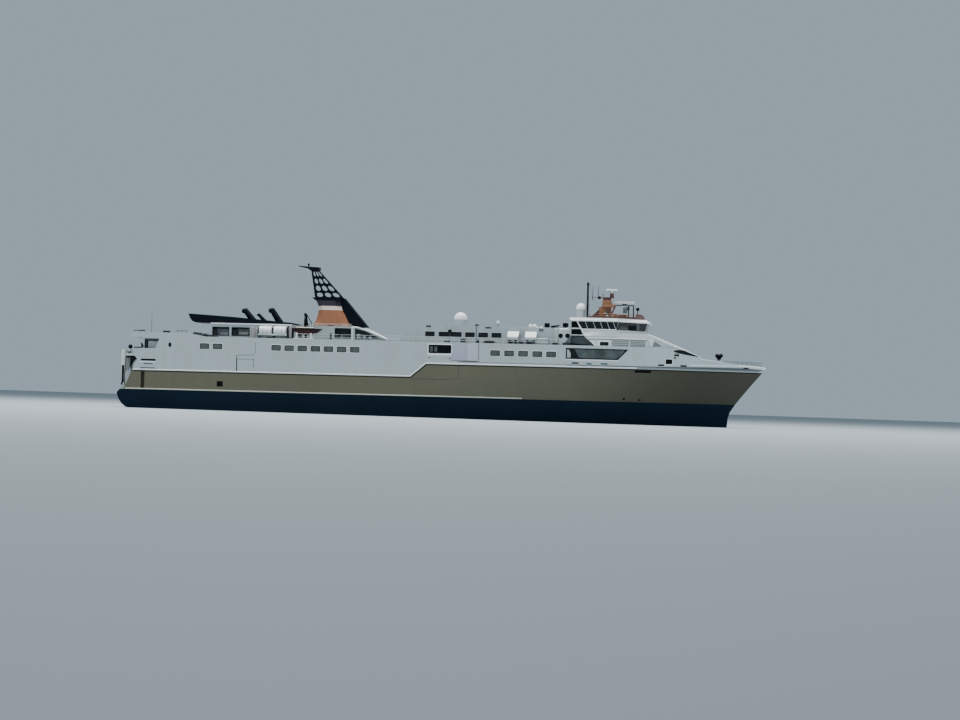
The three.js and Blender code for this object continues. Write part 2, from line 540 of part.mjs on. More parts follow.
// Rescue boat in its chocks, and the davit that lifts it
function rescueBoat() {
  const hull = fromSide([[-2174, 1256], [-2104, 1196], [-2062, 1176], [-1878, 1172], [-1792, 1200],
    [-1728, 1252], [-1760, 1262], [-2130, 1262]], -770, -620);
  const plan = fromAbove([[-2180, -715], [-2120, -620], [-1870, -620], [-1724, -690], [-1724, -700],
    [-1870, -770], [-2120, -770], [-2180, -745]], 1100, 1300);
  const chocks = [-2050, -1880].map((x) => box(x - 12, x + 12, -755, -635, WEATHER_Z[1], 1180));
  return joined([hull.intersect(plan), ...chocks]);
}
function boatDavit() {
  const [x, y] = [-1990, -580];
  const [shoulder, head] = [1290, 1484];
  const column = [bar([x, y, WEATHER_Z[1]], [x, y, shoulder + 5], 22),
    bar([x, y, shoulder], [x, y, head], 37, 9)];
  const jib = [bar([x, y + 5, 1478], [x, y - 140, 1478], 11, 8),
    bar([x, y + 6, 1380], [x, y - 110, 1476], 8, 8, 8)];
  const fall = [bar([x, y - 135, 1475], [x, y - 135, 1330], 4, 4, 8), ball(x, y - 135, 1325, 12, 12)];
  return joined([...column, ...jib, ...fall]);
}

// Life raft canisters on a rack: two to a rack, lying fore and aft
function raftRack(side) {
  const [y, z, radius, length, starts] = [side * 700, 1213, 70, 176, [-2652, -2434]];
  const canisters = starts.map((x) => bar([x, y, z], [x + length, y, z], radius, radius, 24));
  const [x0, x1] = [starts[0] - 15, starts[1] + length + 15];
  const spread = radius * 0.62;
  const rails = [-spread, spread].map((dy) =>
    box(x0, x1, y + dy - 7, y + dy + 7, z - radius - 5, z - radius * 0.6));
  const feet = [x0 + 8, (x0 + x1) / 2, x1 - 8].map((x) =>
    box(x - 8, x + 8, y - spread - 7, y + spread + 7, WEATHER_Z[1], z - radius));
  return joined([...canisters, ...rails, ...feet]);
}

// Life raft lockers with sloping lids, two on a stand
function raftBoxes(side) {
  const [width, starts, sill] = [154, [1022, 1280], 1163];
  const section = [[652, sill], [800, sill], [800, 1198], [682, 1284], [652, 1284]];
  const lockers = starts.map((x) => alongShip(section, side, x, x + width));
  const ends = [starts[0] + 6, starts[0] + width - 6, starts[1] + 6, starts[1] + width - 6];
  const legs = ends.map((x) => box(x - 6, x + 6, ...span(side, 668, 784), WEATHER_Z[1], sill + 4));
  const beams = [676, 776].map((y) =>
    box(ends[0], ends[3], ...span(side, y - 6, y + 6), sill - 14, sill + 4));
  return joined([...lockers, ...legs, ...beams]);
}

// Foredeck windlass with its signal lamps
function windlass() {
  const lamps = [[4052, 4036], [4066, 4086]].map(([x0, x1]) => bar([x0, 0, 966], [x1, 0, 1036], 10, 22, 12));
  const bed = box(3990, 4110, -120, 120, SALOON_Z[1], 848);
  const drum = bar([4050, -150, 892], [4050, 150, 892], 38, 38, 20);
  const cheeks = [-90, 60].map((y) => box(4030, 4070, y, y + 30, 842, 900));
  const post = bar([4056, 0, 890], [4056, 0, 985], 12);
  return joined([bed, drum, ...cheeks, post, box(4026, 4092, -12, 12, 962, 980), ...lamps]);
}

// Waterjets: housings on the transom with pivot arms, steering nozzles and reversing buckets
const JET_Y = [-480, -175, 175, 480];
const JET_Z = -75;
const NOZZLE_PIVOT_X = -4590;
const BUCKET_PIVOT_X = -4600;
const onPivot = (y, radius, reach, sides = 16) =>
  bar([NOZZLE_PIVOT_X, y, JET_Z - reach], [NOZZLE_PIVOT_X, y, JET_Z + reach], radius, radius, sides);
function jetHousings() {
  const plate = box(-4520, -4500, -560, 560, JET_Z - 70, JET_Z + 70);
  const arms = JET_Y.flatMap((y) => [-1, 1].map((up) =>
    box(-4603, -4515, y - 14, y + 14, JET_Z + 64 * up - 3, JET_Z + 64 * up + 3)));
  const tubes = JET_Y.map((y) => bar([-4510, y, JET_Z], [-4545, y, JET_Z], 50, 47, 20));
  const bores = JET_Y.map((y) => bar([-4506, y, JET_Z], [-4570, y, JET_Z], 37, 35, 20));
  return cut(joined([plate, ...tubes, ...arms]), [...bores, ...JET_Y.map((y) => onPivot(y, 6.4, 70))]);
}
function jetNozzle(y) {
  const cone = bar([-4578, y, JET_Z], [-4640, y, JET_Z], 45, 36, 20);
  const trunnions = bar([BUCKET_PIVOT_X, y - 57, JET_Z], [BUCKET_PIVOT_X, y + 57, JET_Z], 7, 7, 16);
  const bore = bar([-4570, y, JET_Z], [-4650, y, JET_Z], 36, 29, 20);
  return cut(joined([cone, trunnions, onPivot(y, 10, 56, 12), onPivot(y, 6, 68)]), [bore]);
}
function jetBucket(y) {
  const at = (radius, degrees) => [BUCKET_PIVOT_X - radius * Math.cos((degrees * Math.PI) / 180),
    JET_Z + radius * Math.sin((degrees * Math.PI) / 180)];
  const sweep = [25, 37, 49, 61, 73, 85];
  const arc = (radius) => sweep.map((a) => at(radius, a));
  const hood = fromSide([...arc(84), ...arc(93).reverse()], y - 58, y + 58);
  const cheek = [at(14, -120), at(14, -60), at(14, 0), ...arc(90), at(14, 120), at(14, 180)];
  const cheeks = [-55, 55].map((dy) => fromSide(cheek, y + dy - 3, y + dy + 3));
  const hole = bar([BUCKET_PIVOT_X, y - 70, JET_Z], [BUCKET_PIVOT_X, y + 70, JET_Z], 7.5, 7.5, 16);
  return cut(joined([hood, ...cheeks]), [hole]);
}

// Each solid becomes one named mesh of the group
const group = new THREE.Group();
function add(name, solid, material) {
  const { vertProperties, triVerts, numProp } = solid.getMesh();
  const count = vertProperties.length / numProp;
  const xyz = new Float32Array(count * 3);
  for (let i = 0; i < count; i++)
    for (let k = 0; k < 3; k++) xyz[i * 3 + k] = vertProperties[i * numProp + k];
  const geometry = new THREE.BufferGeometry();
  geometry.setAttribute("position", new THREE.BufferAttribute(xyz, 3));
  geometry.setIndex(new THREE.BufferAttribute(new Uint32Array(triVerts), 1));
  geometry.computeVertexNormals();
  const mesh = new THREE.Mesh(geometry, material);
  mesh.name = name;
  group.add(mesh);
}

add("hull_lower", hullLower(), PAINT.dark);
add("hull_band", hullBand(), PAINT.tan);
for (const [name, side] of SIDES) {
  add(`side_wall_${name}`, sideWall(side), PAINT.white);
  add(`shell_door_${name}`, shellDoor(side), PAINT.white);
  add(`saloon_glass_${name}`, wallPane(side, BIG_WINDOW), PAINT.glass);
  add(`lounge_glass_${name}`, wallPane(side, LOUNGE_WINDOW), PAINT.glass);
  add(`house_glass_${name}`, houseGlass(side), PAINT.glass);
  add(`raft_rack_${name}`, raftRack(side), PAINT.white);
  add(`raft_boxes_${name}`, raftBoxes(side), PAINT.white);
}
add("saloon_deck", saloonDeck(), PAINT.deck);
add("weather_deck", weatherDeck(), PAINT.deck);
add("transom_frame", transomFrame(), PAINT.white);
add("aft_screen", aftScreen(), PAINT.white);
add("visor_roof", visorRoof(), PAINT.white);
add("stern_ramp", sternRamp(), PAINT.black);
add("aft_house", aftHouse(), PAINT.white);
add("exhaust_casing", exhaustCasing(), PAINT.black);
add("funnel_house", funnelHouse(), PAINT.white);
add("funnel_casing", funnelBlock(FUNNEL.slice(0, 4)), PAINT.orange);
add("funnel_light_band", funnelBlock(FUNNEL.slice(3, 5)), PAINT.rose);
add("funnel_dark_band", funnelBlock(FUNNEL.slice(4, 6)), PAINT.purple);
add("funnel_top", funnelTop(), PAINT.black);
add("forward_house", forwardHouse(), PAINT.white);
add("antenna_dome_mid", dome(228, 0, 100, 1575, 1356), PAINT.white);
add("antenna_dome_fore", dome(2015, 0, 73, 1747, BRIDGE_Z[2]), PAINT.white);
add("bridge_base", bridgeBase(), PAINT.white);
add("wheelhouse", wheelhouse(), PAINT.white);
add("wheelhouse_glass", wheelhouseGlass(), PAINT.glass);
add("wheelhouse_roof", wheelhouseRoof(), PAINT.white);
add("bridge_console", bridgeConsole(), PAINT.console);
add("front_fairing", frontFairing(), PAINT.white);
add("main_mast", mainMast(), PAINT.black);
add("radar_mast", radarMast(), PAINT.mast);
add("radar_scanner_top", scanner(2466, 1902, 38, 85, 50), PAINT.white);
add("radar_scanner_low", scanner(2655, 1750, 18, 145, 0), PAINT.white);
add("searchlight", searchlight(), PAINT.black);
add("rescue_boat", rescueBoat(), PAINT.red);
add("boat_davit", boatDavit(), PAINT.black);
add("windlass", windlass(), PAINT.grey);
add("jet_housings", jetHousings(), PAINT.steel);
JET_Y.forEach((y, i) => {
  add(`jet_nozzle_${i + 1}`, jetNozzle(y), PAINT.steel);
  add(`jet_bucket_${i + 1}`, jetBucket(y), PAINT.steel);
});

export default group;
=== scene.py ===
import bmesh
import bpy
import numpy as np
from mathutils import Matrix


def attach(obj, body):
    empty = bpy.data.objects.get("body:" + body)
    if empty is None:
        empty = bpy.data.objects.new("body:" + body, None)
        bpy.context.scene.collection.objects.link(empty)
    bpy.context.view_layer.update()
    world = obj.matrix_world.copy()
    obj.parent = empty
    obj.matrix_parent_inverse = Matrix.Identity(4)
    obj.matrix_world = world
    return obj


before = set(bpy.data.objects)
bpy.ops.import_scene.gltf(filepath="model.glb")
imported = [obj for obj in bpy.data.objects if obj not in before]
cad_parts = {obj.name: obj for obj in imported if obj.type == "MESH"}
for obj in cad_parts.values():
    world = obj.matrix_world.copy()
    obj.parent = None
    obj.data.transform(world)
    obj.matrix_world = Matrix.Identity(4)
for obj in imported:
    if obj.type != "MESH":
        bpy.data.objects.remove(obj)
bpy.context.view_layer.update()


# Studio. A pale painted floor stands at the water's surface, so the hull sits in it as deep as it floats.
# The ferry runs with its stern a little down, so the floor tilts by that angle through the origin, and the
# camera stands low and far off its starboard side, a little ahead of the beam, as on a boat passing by.
TRIM = np.radians(0.415)
CAMERA_AT = np.array([5.026, -35.76, 0.2077])
AIM = np.array([0.5323, 0.0])
PITCH, ROLL = np.radians(1.0576), np.radians(1.523)


def linear(code):
    """sRGB hex to a linear colour with alpha: each channel below 0.04045 is divided by 12.92, and the rest
    is raised to 2.4 after an offset."""
    srgb = np.array([int(code[i:i + 2], 16) for i in (1, 3, 5)]) / 255
    value = np.where(srgb <= 0.04045, srgb / 12.92, ((srgb + 0.055) / 1.055) ** 2.4)
    return (*value.tolist(), 1.0)


def add(tree, kind, links=None, sockets=None, **settings):
    """Adds a node: settings are its properties, sockets its fixed inputs, and links its inputs from
    others."""
    made = tree.nodes.new(kind)
    for name, value in settings.items():
        setattr(made, name, value)
    for name, value in (sockets or {}).items():
        made.inputs[name].default_value = value
    for name, (source, output) in (links or {}).items():
        tree.links.new(source.outputs[output], made.inputs[name])
    return made


def surface(name, vertices, faces):
    """A mesh object at the origin from an (n, 3) array of points in metres and a list of faces."""
    mesh = bpy.data.meshes.new(name)
    mesh.from_pydata(np.asarray(vertices, float).tolist(), [], faces)
    mesh.update()
    made = bpy.data.objects.new(name, mesh)
    bpy.context.scene.collection.objects.link(made)
    return made


ahead = np.array([AIM[0], AIM[1], 0]) - np.array([CAMERA_AT[0], CAMERA_AT[1], 0])
ahead /= np.linalg.norm(ahead)
level = np.cross(ahead, [0, 0, 1])
forward = ahead * np.cos(PITCH) + np.array([0, 0, 1]) * np.sin(PITCH)
upward = np.cross(level, forward)
right = level * np.cos(ROLL) + upward * np.sin(ROLL)
top = -level * np.sin(ROLL) + upward * np.cos(ROLL)
# A long lens on a full-frame sensor, as the photo's flat perspective shows.
lens = bpy.data.cameras.new("camera")
lens.sensor_width, lens.lens, lens.clip_end = 36, 91.14, 400
camera = bpy.data.objects.new("camera", lens)
bpy.context.scene.collection.objects.link(camera)
placed = np.eye(4)
placed[:3, 0], placed[:3, 1], placed[:3, 2], placed[:3, 3] = right, top, -forward, CAMERA_AT
camera.matrix_world = Matrix(placed.tolist())
bpy.context.scene.camera = camera

# Matt floor paint: pale, even and without gloss, so it only carries the ship's soft shadow.
reach = 140.0
corners = np.array([[-reach, -reach], [reach, -reach], [reach, reach], [-reach, reach]])
floor = surface("floor", np.column_stack([corners, -corners[:, 0] * np.tan(TRIM)]), [[0, 1, 2, 3]])
floor_paint = bpy.data.materials.new("floor_paint")
floor_paint.use_nodes = True
shader = floor_paint.node_tree.nodes["Principled BSDF"]
shader.inputs["Base Color"].default_value = linear("#a2abb0")
shader.inputs["Roughness"].default_value = 0.8
floor.data.materials.append(floor_paint)

# Overcast light: a pale blue surround, one very large lamp overhead and a faint one from the camera's side.
sky = bpy.data.worlds.new("studio")
bpy.context.scene.world = sky
sky.use_nodes = True
sky.node_tree.nodes["Background"].inputs["Color"].default_value = linear("#afc3d0")
sky.node_tree.nodes["Background"].inputs["Strength"].default_value = 0.74
for name, place, size, watts in [
    ("overhead", (-2, -1, 24), 22, 13000),
    ("key", (-16, -26, 18), 18, 700),
]:
    light = bpy.data.lights.new(name, "AREA")
    light.size, light.energy = size, watts
    lamp = bpy.data.objects.new(name, light)
    bpy.context.scene.collection.objects.link(lamp)
    aim = -np.array(place, float)
    aim /= np.linalg.norm(aim)
    side = np.cross(aim, [0, 0, 1])
    side /= np.linalg.norm(side)
    turn = np.eye(4)
    turn[:3, 0], turn[:3, 1], turn[:3, 2], turn[:3, 3] = side, np.cross(side, aim), -aim, place
    lamp.matrix_world = Matrix(turn.tolist())


# Hull plating. The lower hull is welded aluminium in midnight blue epoxy, the shell above it in tan enamel,
# and both are faired by hand, so the paint is satin, a little uneven in tone, and streaked where water runs
# off.
def enamel(name, code, rough=0.42, tone=0.06, streak=0.5, specular=0.5):
    """Satin paint: noise tints the colour by the share tone up and down, upright streaks darken it, and low
    waves dish the plates between their frames."""
    # Noise scales are per metre: patches of 770 mm, and streaks 70 mm wide and 600 mm long. The waves are
    # 120 mm long, two frame spaces, which is coarser than on the ship, so that a trace of them shows.
    made = bpy.data.materials.new(name)
    made.use_nodes = True
    tree = made.node_tree
    shader = tree.nodes["Principled BSDF"]
    where = add(tree, "ShaderNodeTexCoord")
    drift = add(tree, "ShaderNodeTexNoise", {"Vector": (where, "Object")}, {"Scale": 1.3, "Detail": 4.0})
    flow = add(tree, "ShaderNodeMapping", {"Vector": (where, "Object")}, {"Scale": (14.0, 14.0, 1.6)})
    run = add(tree, "ShaderNodeTexNoise", {"Vector": (flow, "Vector")}, {"Scale": 1.0, "Detail": 5.0})
    base = linear(code)
    ramp = add(tree, "ShaderNodeValToRGB", {"Fac": (drift, "Fac")})
    ramp.color_ramp.elements[0].position, ramp.color_ramp.elements[1].position = 0.3, 0.7
    ramp.color_ramp.elements[0].color = (*[c * (1 - tone) for c in base[:3]], 1)
    ramp.color_ramp.elements[1].color = (*[min(1, c * (1 + tone)) for c in base[:3]], 1)
    dirt = add(tree, "ShaderNodeValToRGB", {"Fac": (run, "Fac")})
    dirt.color_ramp.elements[0].position, dirt.color_ramp.elements[1].position = 0.35, 0.62
    low = 1 - 0.18 * streak
    dirt.color_ramp.elements[0].color = (low, low, low * 0.98, 1)
    dirt.color_ramp.elements[1].color = (1, 1, 1, 1)
    mixed = add(tree, "ShaderNodeMix", data_type="RGBA", blend_type="MULTIPLY")
    mixed.inputs[0].default_value = 1.0
    tree.links.new(ramp.outputs["Color"], mixed.inputs[6])
    tree.links.new(dirt.outputs["Color"], mixed.inputs[7])
    tree.links.new(mixed.outputs[2], shader.inputs["Base Color"])
    waves = add(tree, "ShaderNodeTexWave", {"Vector": (where, "Object")},
                {"Scale": 2.6, "Distortion": 1.5, "Detail": 1.0}, bands_direction="X")
    bump = add(tree, "ShaderNodeBump", {"Height": (waves, "Fac")}, {"Strength": 0.03, "Distance": 0.004})
    tree.links.new(bump.outputs["Normal"], shader.inputs["Normal"])
    shader.inputs["Roughness"].default_value = rough
    shader.inputs["Specular IOR Level"].default_value = specular
    return made


def dress(material, *names):
    """Puts the material into the slots of these CAD nodes."""
    for name in names:
        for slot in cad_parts[name].material_slots:
            slot.material = material


def graded(material, start, end, factor):
    """Multiplies the paint's colour by 1 aft of start and by the factor ahead of end, evenly between them,
    both x in metres."""
    tree = material.node_tree
    shader = tree.nodes["Principled BSDF"]
    where = add(tree, "ShaderNodeTexCoord")
    split = add(tree, "ShaderNodeSeparateXYZ", {"Vector": (where, "Object")})
    ramp = add(tree, "ShaderNodeMapRange", {"Value": (split, "X")}, {"From Min": start, "From Max": end,
                                                                     "To Min": 1.0, "To Max": factor})
    scaled = add(tree, "ShaderNodeVectorMath", {1: (ramp, "Result")}, operation="MULTIPLY")
    tree.links.new(shader.inputs["Base Color"].links[0].from_socket, scaled.inputs[0])
    tree.links.new(scaled.outputs["Vector"], shader.inputs["Base Color"])
    return material


# Two-pack epoxy, rolled on thick: a nearly black blue with a dull sheen, painted a little paler on the
# flare forward as the sky's light on it.
hull_epoxy = graded(
    enamel("midnight_epoxy", "#0d1e2c", rough=0.55, tone=0.1, streak=0.3, specular=0.08), start=0.0,
    end=3.5, factor=1.4)
dress(hull_epoxy, "hull_lower")
# Sprayed marine enamel: a warm grey tan with a satin sheen, painted darker forward as the shade under
# the bow's flare, which faces down to the water.
tan_enamel = graded(
    enamel("tan_marine_enamel", "#676452", rough=0.45, tone=0.04, streak=0.2, specular=0.3), start=1.9,
    end=3.7, factor=0.52)
dress(tan_enamel, "hull_band")


# Rubbing strake and mouldings. A light half-round bar is welded along the top of the dark hull, and a white
# one covers the joint between the tan shell and the white sides; both are rolled section, painted in place.
LEVELS = np.array([
    # z, stem x, half breadth, start of the taper, power of the taper
    [0.103, 4.208, 0.860, -1.05, 2.0],
    [0.186, 4.232, 0.866, -0.9, 2.05],
    [0.305, 4.308, 0.870, -0.7, 2.15],
    [0.430, 4.405, 0.870, -0.35, 2.25],
    [0.590, 4.535, 0.870, 0.15, 2.4],
    [0.783, 4.697, 0.870, 0.8, 2.6],
    [0.846, 4.755, 0.870, 0.8, 2.6],
    [1.600, 4.759, 0.870, 0.8, 2.6],
])


def shell_side(x, z):
    """Half breadth of the shell at x and z: parallel amidships, less the power of the share of the taper
    that is behind, and straight between the two levels above and below the point."""
    x, z = np.broadcast_arrays(np.asarray(x, float), np.asarray(z, float))
    below = np.clip(np.searchsorted(LEVELS[:, 0], z, side="right") - 1, 0, len(LEVELS) - 2)
    low, high = LEVELS[below], LEVELS[below + 1]
    rise = (z - low[..., 0]) / (high[..., 0] - low[..., 0])
    share = (x + 4.75) / (low[..., 1] + rise * (high[..., 1] - low[..., 1]) + 4.75)
    breadths = []
    for row in (low, high):
        along = share * (row[..., 1] + 4.75) - 4.75
        taper = np.clip((along - row[..., 3]) / (row[..., 1] - row[..., 3]), 0, 1)
        breadths.append(row[..., 2] * (1 - taper ** row[..., 4]))
    return np.maximum(breadths[0] + rise * (breadths[1] - breadths[0]), 0.005)


def skinned(name, rings, material, body="ship", looped=False, crease=35):
    """Skin over stacks of rings, an array (stacks, rings, points, 3) in metres: each ring is joined to the
    next by quads, and a stack's end rings get a face each, or are joined to each other where the stack is
    looped."""
    rings = np.asarray(rings, float)
    index = np.arange(rings[..., 0].size).reshape(rings.shape[:3])
    lower = index if looped else index[:, :-1]
    upper = np.roll(index, -1, 1) if looped else index[:, 1:]
    quads = np.stack([lower, np.roll(lower, -1, 2), np.roll(upper, -1, 2), upper], -1).reshape(-1, 4)
    faces = quads.tolist()
    if not looped:
        faces += index[:, 0, ::-1].tolist() + index[:, -1].tolist()
    made = surface(name, rings.reshape(-1, 3), faces)
    shell = bmesh.new()
    shell.from_mesh(made.data)
    bmesh.ops.recalc_face_normals(shell, faces=shell.faces)
    shell.to_mesh(made.data)
    shell.free()
    made.data.shade_smooth()
    made.data.set_sharp_from_angle(angle=np.radians(crease))
    made.data.materials.append(material)
    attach(made, body)
    return made


def moulding(path, width, proud, wall=shell_side, round_face=True, step=0.06):
    """Rings of a bar on both sides of the ship: the path (x, z) in metres is walked in equal steps, and at
    each step the section lies across the path, its back 3 mm inside the wall and its face proud of it."""
    path = np.asarray(path, float)
    run = np.concatenate([[0], np.cumsum(np.linalg.norm(np.diff(path, axis=0), axis=1))])
    at = np.unique(np.concatenate([run, np.linspace(0, run[-1], max(2, int(run[-1] / step)))]))
    line = np.stack([np.interp(at, run, path[:, 0]), np.interp(at, run, path[:, 1])], -1)
    ahead = np.gradient(line, at, axis=0)
    ahead /= np.linalg.norm(ahead, axis=1)[:, None]
    square = np.stack([-ahead[:, 1], ahead[:, 0]], -1)
    turn = np.radians([0, 35, 65, 90, 115, 145, 180]) if round_face else np.radians([0, 0, 180, 180])
    height = np.sin(turn) * proud if round_face else np.array([0, proud, proud, 0])
    out = np.concatenate([[-0.003], height, [-0.003]])
    off = np.concatenate([[width / 2], np.cos(turn) * width / 2, [-width / 2]])
    flat = line[:, None] + off[None, :, None] * square[:, None]
    depth = wall(flat[..., 0], flat[..., 1]) + out
    return np.stack([np.stack([flat[..., 0], side * depth, flat[..., 1]], -1) for side in (-1, 1)])


# Sprayed marine enamel on the sides: a cool white with a soft sheen, graded brighter towards the bow.
white_enamel = graded(
    enamel("white_marine_enamel", "#b6c0c2", rough=0.4, tone=0.03, streak=0.2), start=1.0, end=4.4,
    factor=1.36)
# A brighter white on trim, ledges and sills: a painted highlight, so that edges lit from above stand out.
trim_white = enamel("trim_painted_highlight_white", "#f3f5f5", rough=0.35, tone=0.02, streak=0.08)
# Strake enamel, rubbed by quays: a creamy and slightly dirty line above the dark hull.
pale_enamel = enamel("cream_strake_enamel", "#c9cabb", rough=0.45, tone=0.05, streak=0.3)
# Painted shadow in a matt, almost black olive: the strip under the moulding, and the lining of the fender
# slot.
olive_shade = enamel("olive_painted_shadow", "#29251b", rough=0.6, tone=0.08, streak=0.2, specular=0.2)
skinned("rubbing_strake", moulding([
    (-4.62, 0.3175), (1.256, 0.3175)
], width=0.016, proud=0.0028), pale_enamel)
skinned(
    "rubbing_strake_fore", moulding([(1.256, 0.311), (4.26, 0.311)], width=0.010, proud=0.0022), tan_enamel)
skinned("shell_moulding", moulding([
    (-4.50, 0.600), (-0.379, 0.600), (-0.151, 0.793), (1.9, 0.793), (2.9, 0.797)
], width=0.019, proud=0.0028), trim_white)
# Moulding enamel in a mid grey, painted as the shade under the bow's flare, so the bow's line fades out.
shaded_bow_moulding = enamel("grey_moulding_enamel", "#9aa1a2", rough=0.45, tone=0.05, streak=0.2)
skinned("bow_moulding", moulding([
    (2.9, 0.797), (3.5, 0.800), (4.66, 0.800)
], width=0.016, proud=0.0026), shaded_bow_moulding)
# The dark strip just under the moulding is its painted shadow.
skinned("moulding_painted_shadow", moulding([
    (-4.50, 0.580), (-0.368, 0.580), (-0.140, 0.773), (4.64, 0.775)
], width=0.017, proud=0.0012, round_face=False), olive_shade)


# White sides. The superstructure is welded aluminium plate in white enamel. Its seams and the edges of its
# flush doors show as fine lines, drawn 3 to 10 mm wide, which is coarser than the real ones, so that they
# can be seen.
dress(
    white_enamel, "side_wall_stbd", "side_wall_port", "shell_door_stbd", "shell_door_port", "transom_frame",
    "aft_screen", "visor_roof", "aft_house", "funnel_house", "front_fairing")
# Forward house enamel: greyer than on the sides as painted shade under the roof's overhang, and more
# streaked.
house_shaded_white = enamel("house_white_painted_shade", "#b4bdc1", rough=0.45, tone=0.06, streak=0.4)
dress(house_shaded_white, "forward_house")
# Enamel on the bridge and the ramp: a nearly pure white, painted brighter than the sides as a highlight.
bridge_white = enamel("bridge_white_enamel", "#e2e7e7", rough=0.4, tone=0.03, streak=0.15)
dress(bridge_white, "bridge_base", "wheelhouse", "stern_ramp")
dress(trim_white, "wheelhouse_roof")
# Sealant and primer in the seams: matt greys, dark in an open joint, mid grey in a filled one, faint in a
# weld. They coat a few small primed fittings too, and the mid grey is also painted shade along the bow.
seam_and_shade_grey = enamel("seam_sealant_and_painted_shade", "#6b7375", rough=0.7, tone=0.1, streak=0.2)
seam_pale = enamel("seam_primer", "#b3b9b9", rough=0.7, tone=0.1, streak=0.2)
seam_dark = enamel("seam_shadow", "#4a4d48", rough=0.7, tone=0.1, streak=0.2)
seams = [
    ([(-2.952, 0.604), (-2.952, 0.843), (-2.712, 0.849), (-2.682, 0.872), (-2.676, 1.037)], 0.006),
    ([(-2.952, 0.612), (-2.952, 0.838)], 0.010), ([(0.63, 0.829), (0.325, 0.832), (0.325, 0.798)], 0.007),
    ([(0.62, 1.098), (0.62, 0.83)], 0.007), ([(0.22, 0.838), (0.60, 0.838)], 0.006),
]
for i, (path, width) in enumerate(seams):
    skinned(f"side_seam_{i + 1}", moulding(path, width=width, proud=0.0008, round_face=False), seam_dark)
faint = [
    ([(-2.288, 0.918), (-2.288, 0.605)], 0.004), ([(-4.10, 0.842), (-2.96, 0.842)], 0.003),
    ([(-2.66, 0.842), (-0.14, 0.842)], 0.003), ([(1.85, 1.098), (1.85, 0.80)], 0.004),
    ([(2.86, 1.098), (2.86, 0.80)], 0.003),
]
for i, (path, width) in enumerate(faint):
    skinned(f"faint_seam_{i + 1}", moulding(path, width=width, proud=0.0008, round_face=False), seam_pale)
skinned("band_seam", moulding([
    (0.327, 0.778), (0.332, 0.576), (0.043, 0.558), (-0.35, 0.566)
], width=0.010, proud=0.0008, round_face=False), seam_dark)


# Evacuation station. A wide flush door amidships covers the slide, in white enamel that has turned faintly
# violet, hung in two leaves with sealed edges.
def outline(rows, count=28, power=9.0):
    """Rounded rectangles round rows of x0, x1, z0, z1 in metres: the superellipse, whose two coordinates
    are the cosine and sine to the power 2/n. Gives unit outlines, centres and half sizes."""
    rows = np.asarray(rows, float)
    turn = np.linspace(0, 2 * np.pi, count, endpoint=False) + np.pi / count
    unit = np.stack([np.sign(f) * np.abs(f) ** (2 / power) for f in (np.cos(turn), np.sin(turn))], -1)
    centre = np.stack([rows[:, :2].mean(1), rows[:, 2:].mean(1)], -1)
    half = np.stack([np.ptp(rows[:, :2], axis=1), np.ptp(rows[:, 2:], axis=1)], -1) / 2
    return unit, centre, half


def panes(rows, levels, wall=shell_side, sides=(-1, 1), power=9.0):
    """Rings of flat panels on the wall: each outline is repeated at the levels' (inset, proud) in
    metres."""
    unit, centre, half = outline(rows, power=power)
    inset, proud = np.asarray(levels, float).T
    flat = centre[:, None, None] + unit[None, None] * (half[:, None, None] - inset[None, :, None, None])
    depth = wall(flat[..., 0], flat[..., 1]) + proud[None, :, None]
    return np.concatenate([np.stack([flat[..., 0], side * depth, flat[..., 1]], -1) for side in sides])


def frames(rows, section, wall=shell_side, sides=(-1, 1), power=9.0):
    """Rings of frames round openings: at each point of the outline stands the section of (outset,
    proud)."""
    unit, centre, half = outline(rows, power=power)
    outset, proud = np.asarray(section, float).T
    flat = centre[:, None, None] + unit[None, :, None] * (half[:, None, None] + outset[None, None, :, None])
    depth = wall(flat[..., 0], flat[..., 1]) + proud[None, None, :]
    return np.concatenate([np.stack([flat[..., 0], side * depth, flat[..., 1]], -1) for side in sides])


# Two ages of white enamel: the older leaf has turned faintly violet, and the newer one only a little blue.
violet_enamel = enamel("aged_white_enamel", "#adb0c0", rough=0.4, tone=0.03, streak=0.3)
leaf_enamel = enamel("new_leaf_enamel", "#bdc0cb", rough=0.4, tone=0.03, streak=0.2)
skinned("evacuation_door", panes([(0.22, 0.452, 0.845, 1.098)], [
    (0, -0.003), (0, 0.0012), (0.002, 0.0016)
], power=40), violet_enamel)
skinned("evacuation_leaf", panes([(0.456, 0.60, 0.845, 1.098)], [
    (0, -0.003), (0, 0.0014), (0.002, 0.0018)
], power=40), leaf_enamel)


# Side windows. Fixed toughened panes with grey blinds behind, each in a narrow clamped aluminium frame that
# stands 2.5 mm proud of the plating.
def glazing(name, code, rough=0.06, cloud=0.12, specular=0.5):
    """Toughened glass over what stands behind it: a smooth coat of that colour, whose tone drifts by the
    share cloud in patches of 170 mm as a painted reflection of what shines in it."""
    made = bpy.data.materials.new(name)
    made.use_nodes = True
    tree = made.node_tree
    shader = tree.nodes["Principled BSDF"]
    where = add(tree, "ShaderNodeTexCoord")
    drift = add(tree, "ShaderNodeTexNoise", {"Vector": (where, "Object")}, {"Scale": 6.0, "Detail": 3.0})
    base = linear(code)
    ramp = add(tree, "ShaderNodeValToRGB", {"Fac": (drift, "Fac")})
    ramp.color_ramp.elements[0].position, ramp.color_ramp.elements[1].position = 0.35, 0.65
    ramp.color_ramp.elements[0].color = (*[c * (1 - cloud) for c in base[:3]], 1)
    ramp.color_ramp.elements[1].color = (*[c * (1 + cloud) for c in base[:3]], 1)
    tree.links.new(ramp.outputs["Color"], shader.inputs["Base Color"])
    shader.inputs["Roughness"].default_value = rough
    shader.inputs["IOR"].default_value = 1.52
    shader.inputs["Specular IOR Level"].default_value = specular
    return made


# Float glass over a lowered blind: mid grey and smooth, with a soft gloss.
blind_glass = glazing("glass_over_grey_blind", "#4f5654", rough=0.12, cloud=0.15)
# Tinted float glass over an unlit room: nearly black, with clear reflections.
dark_glass = glazing("tinted_window_glass", "#060a10", rough=0.08, cloud=0.3)
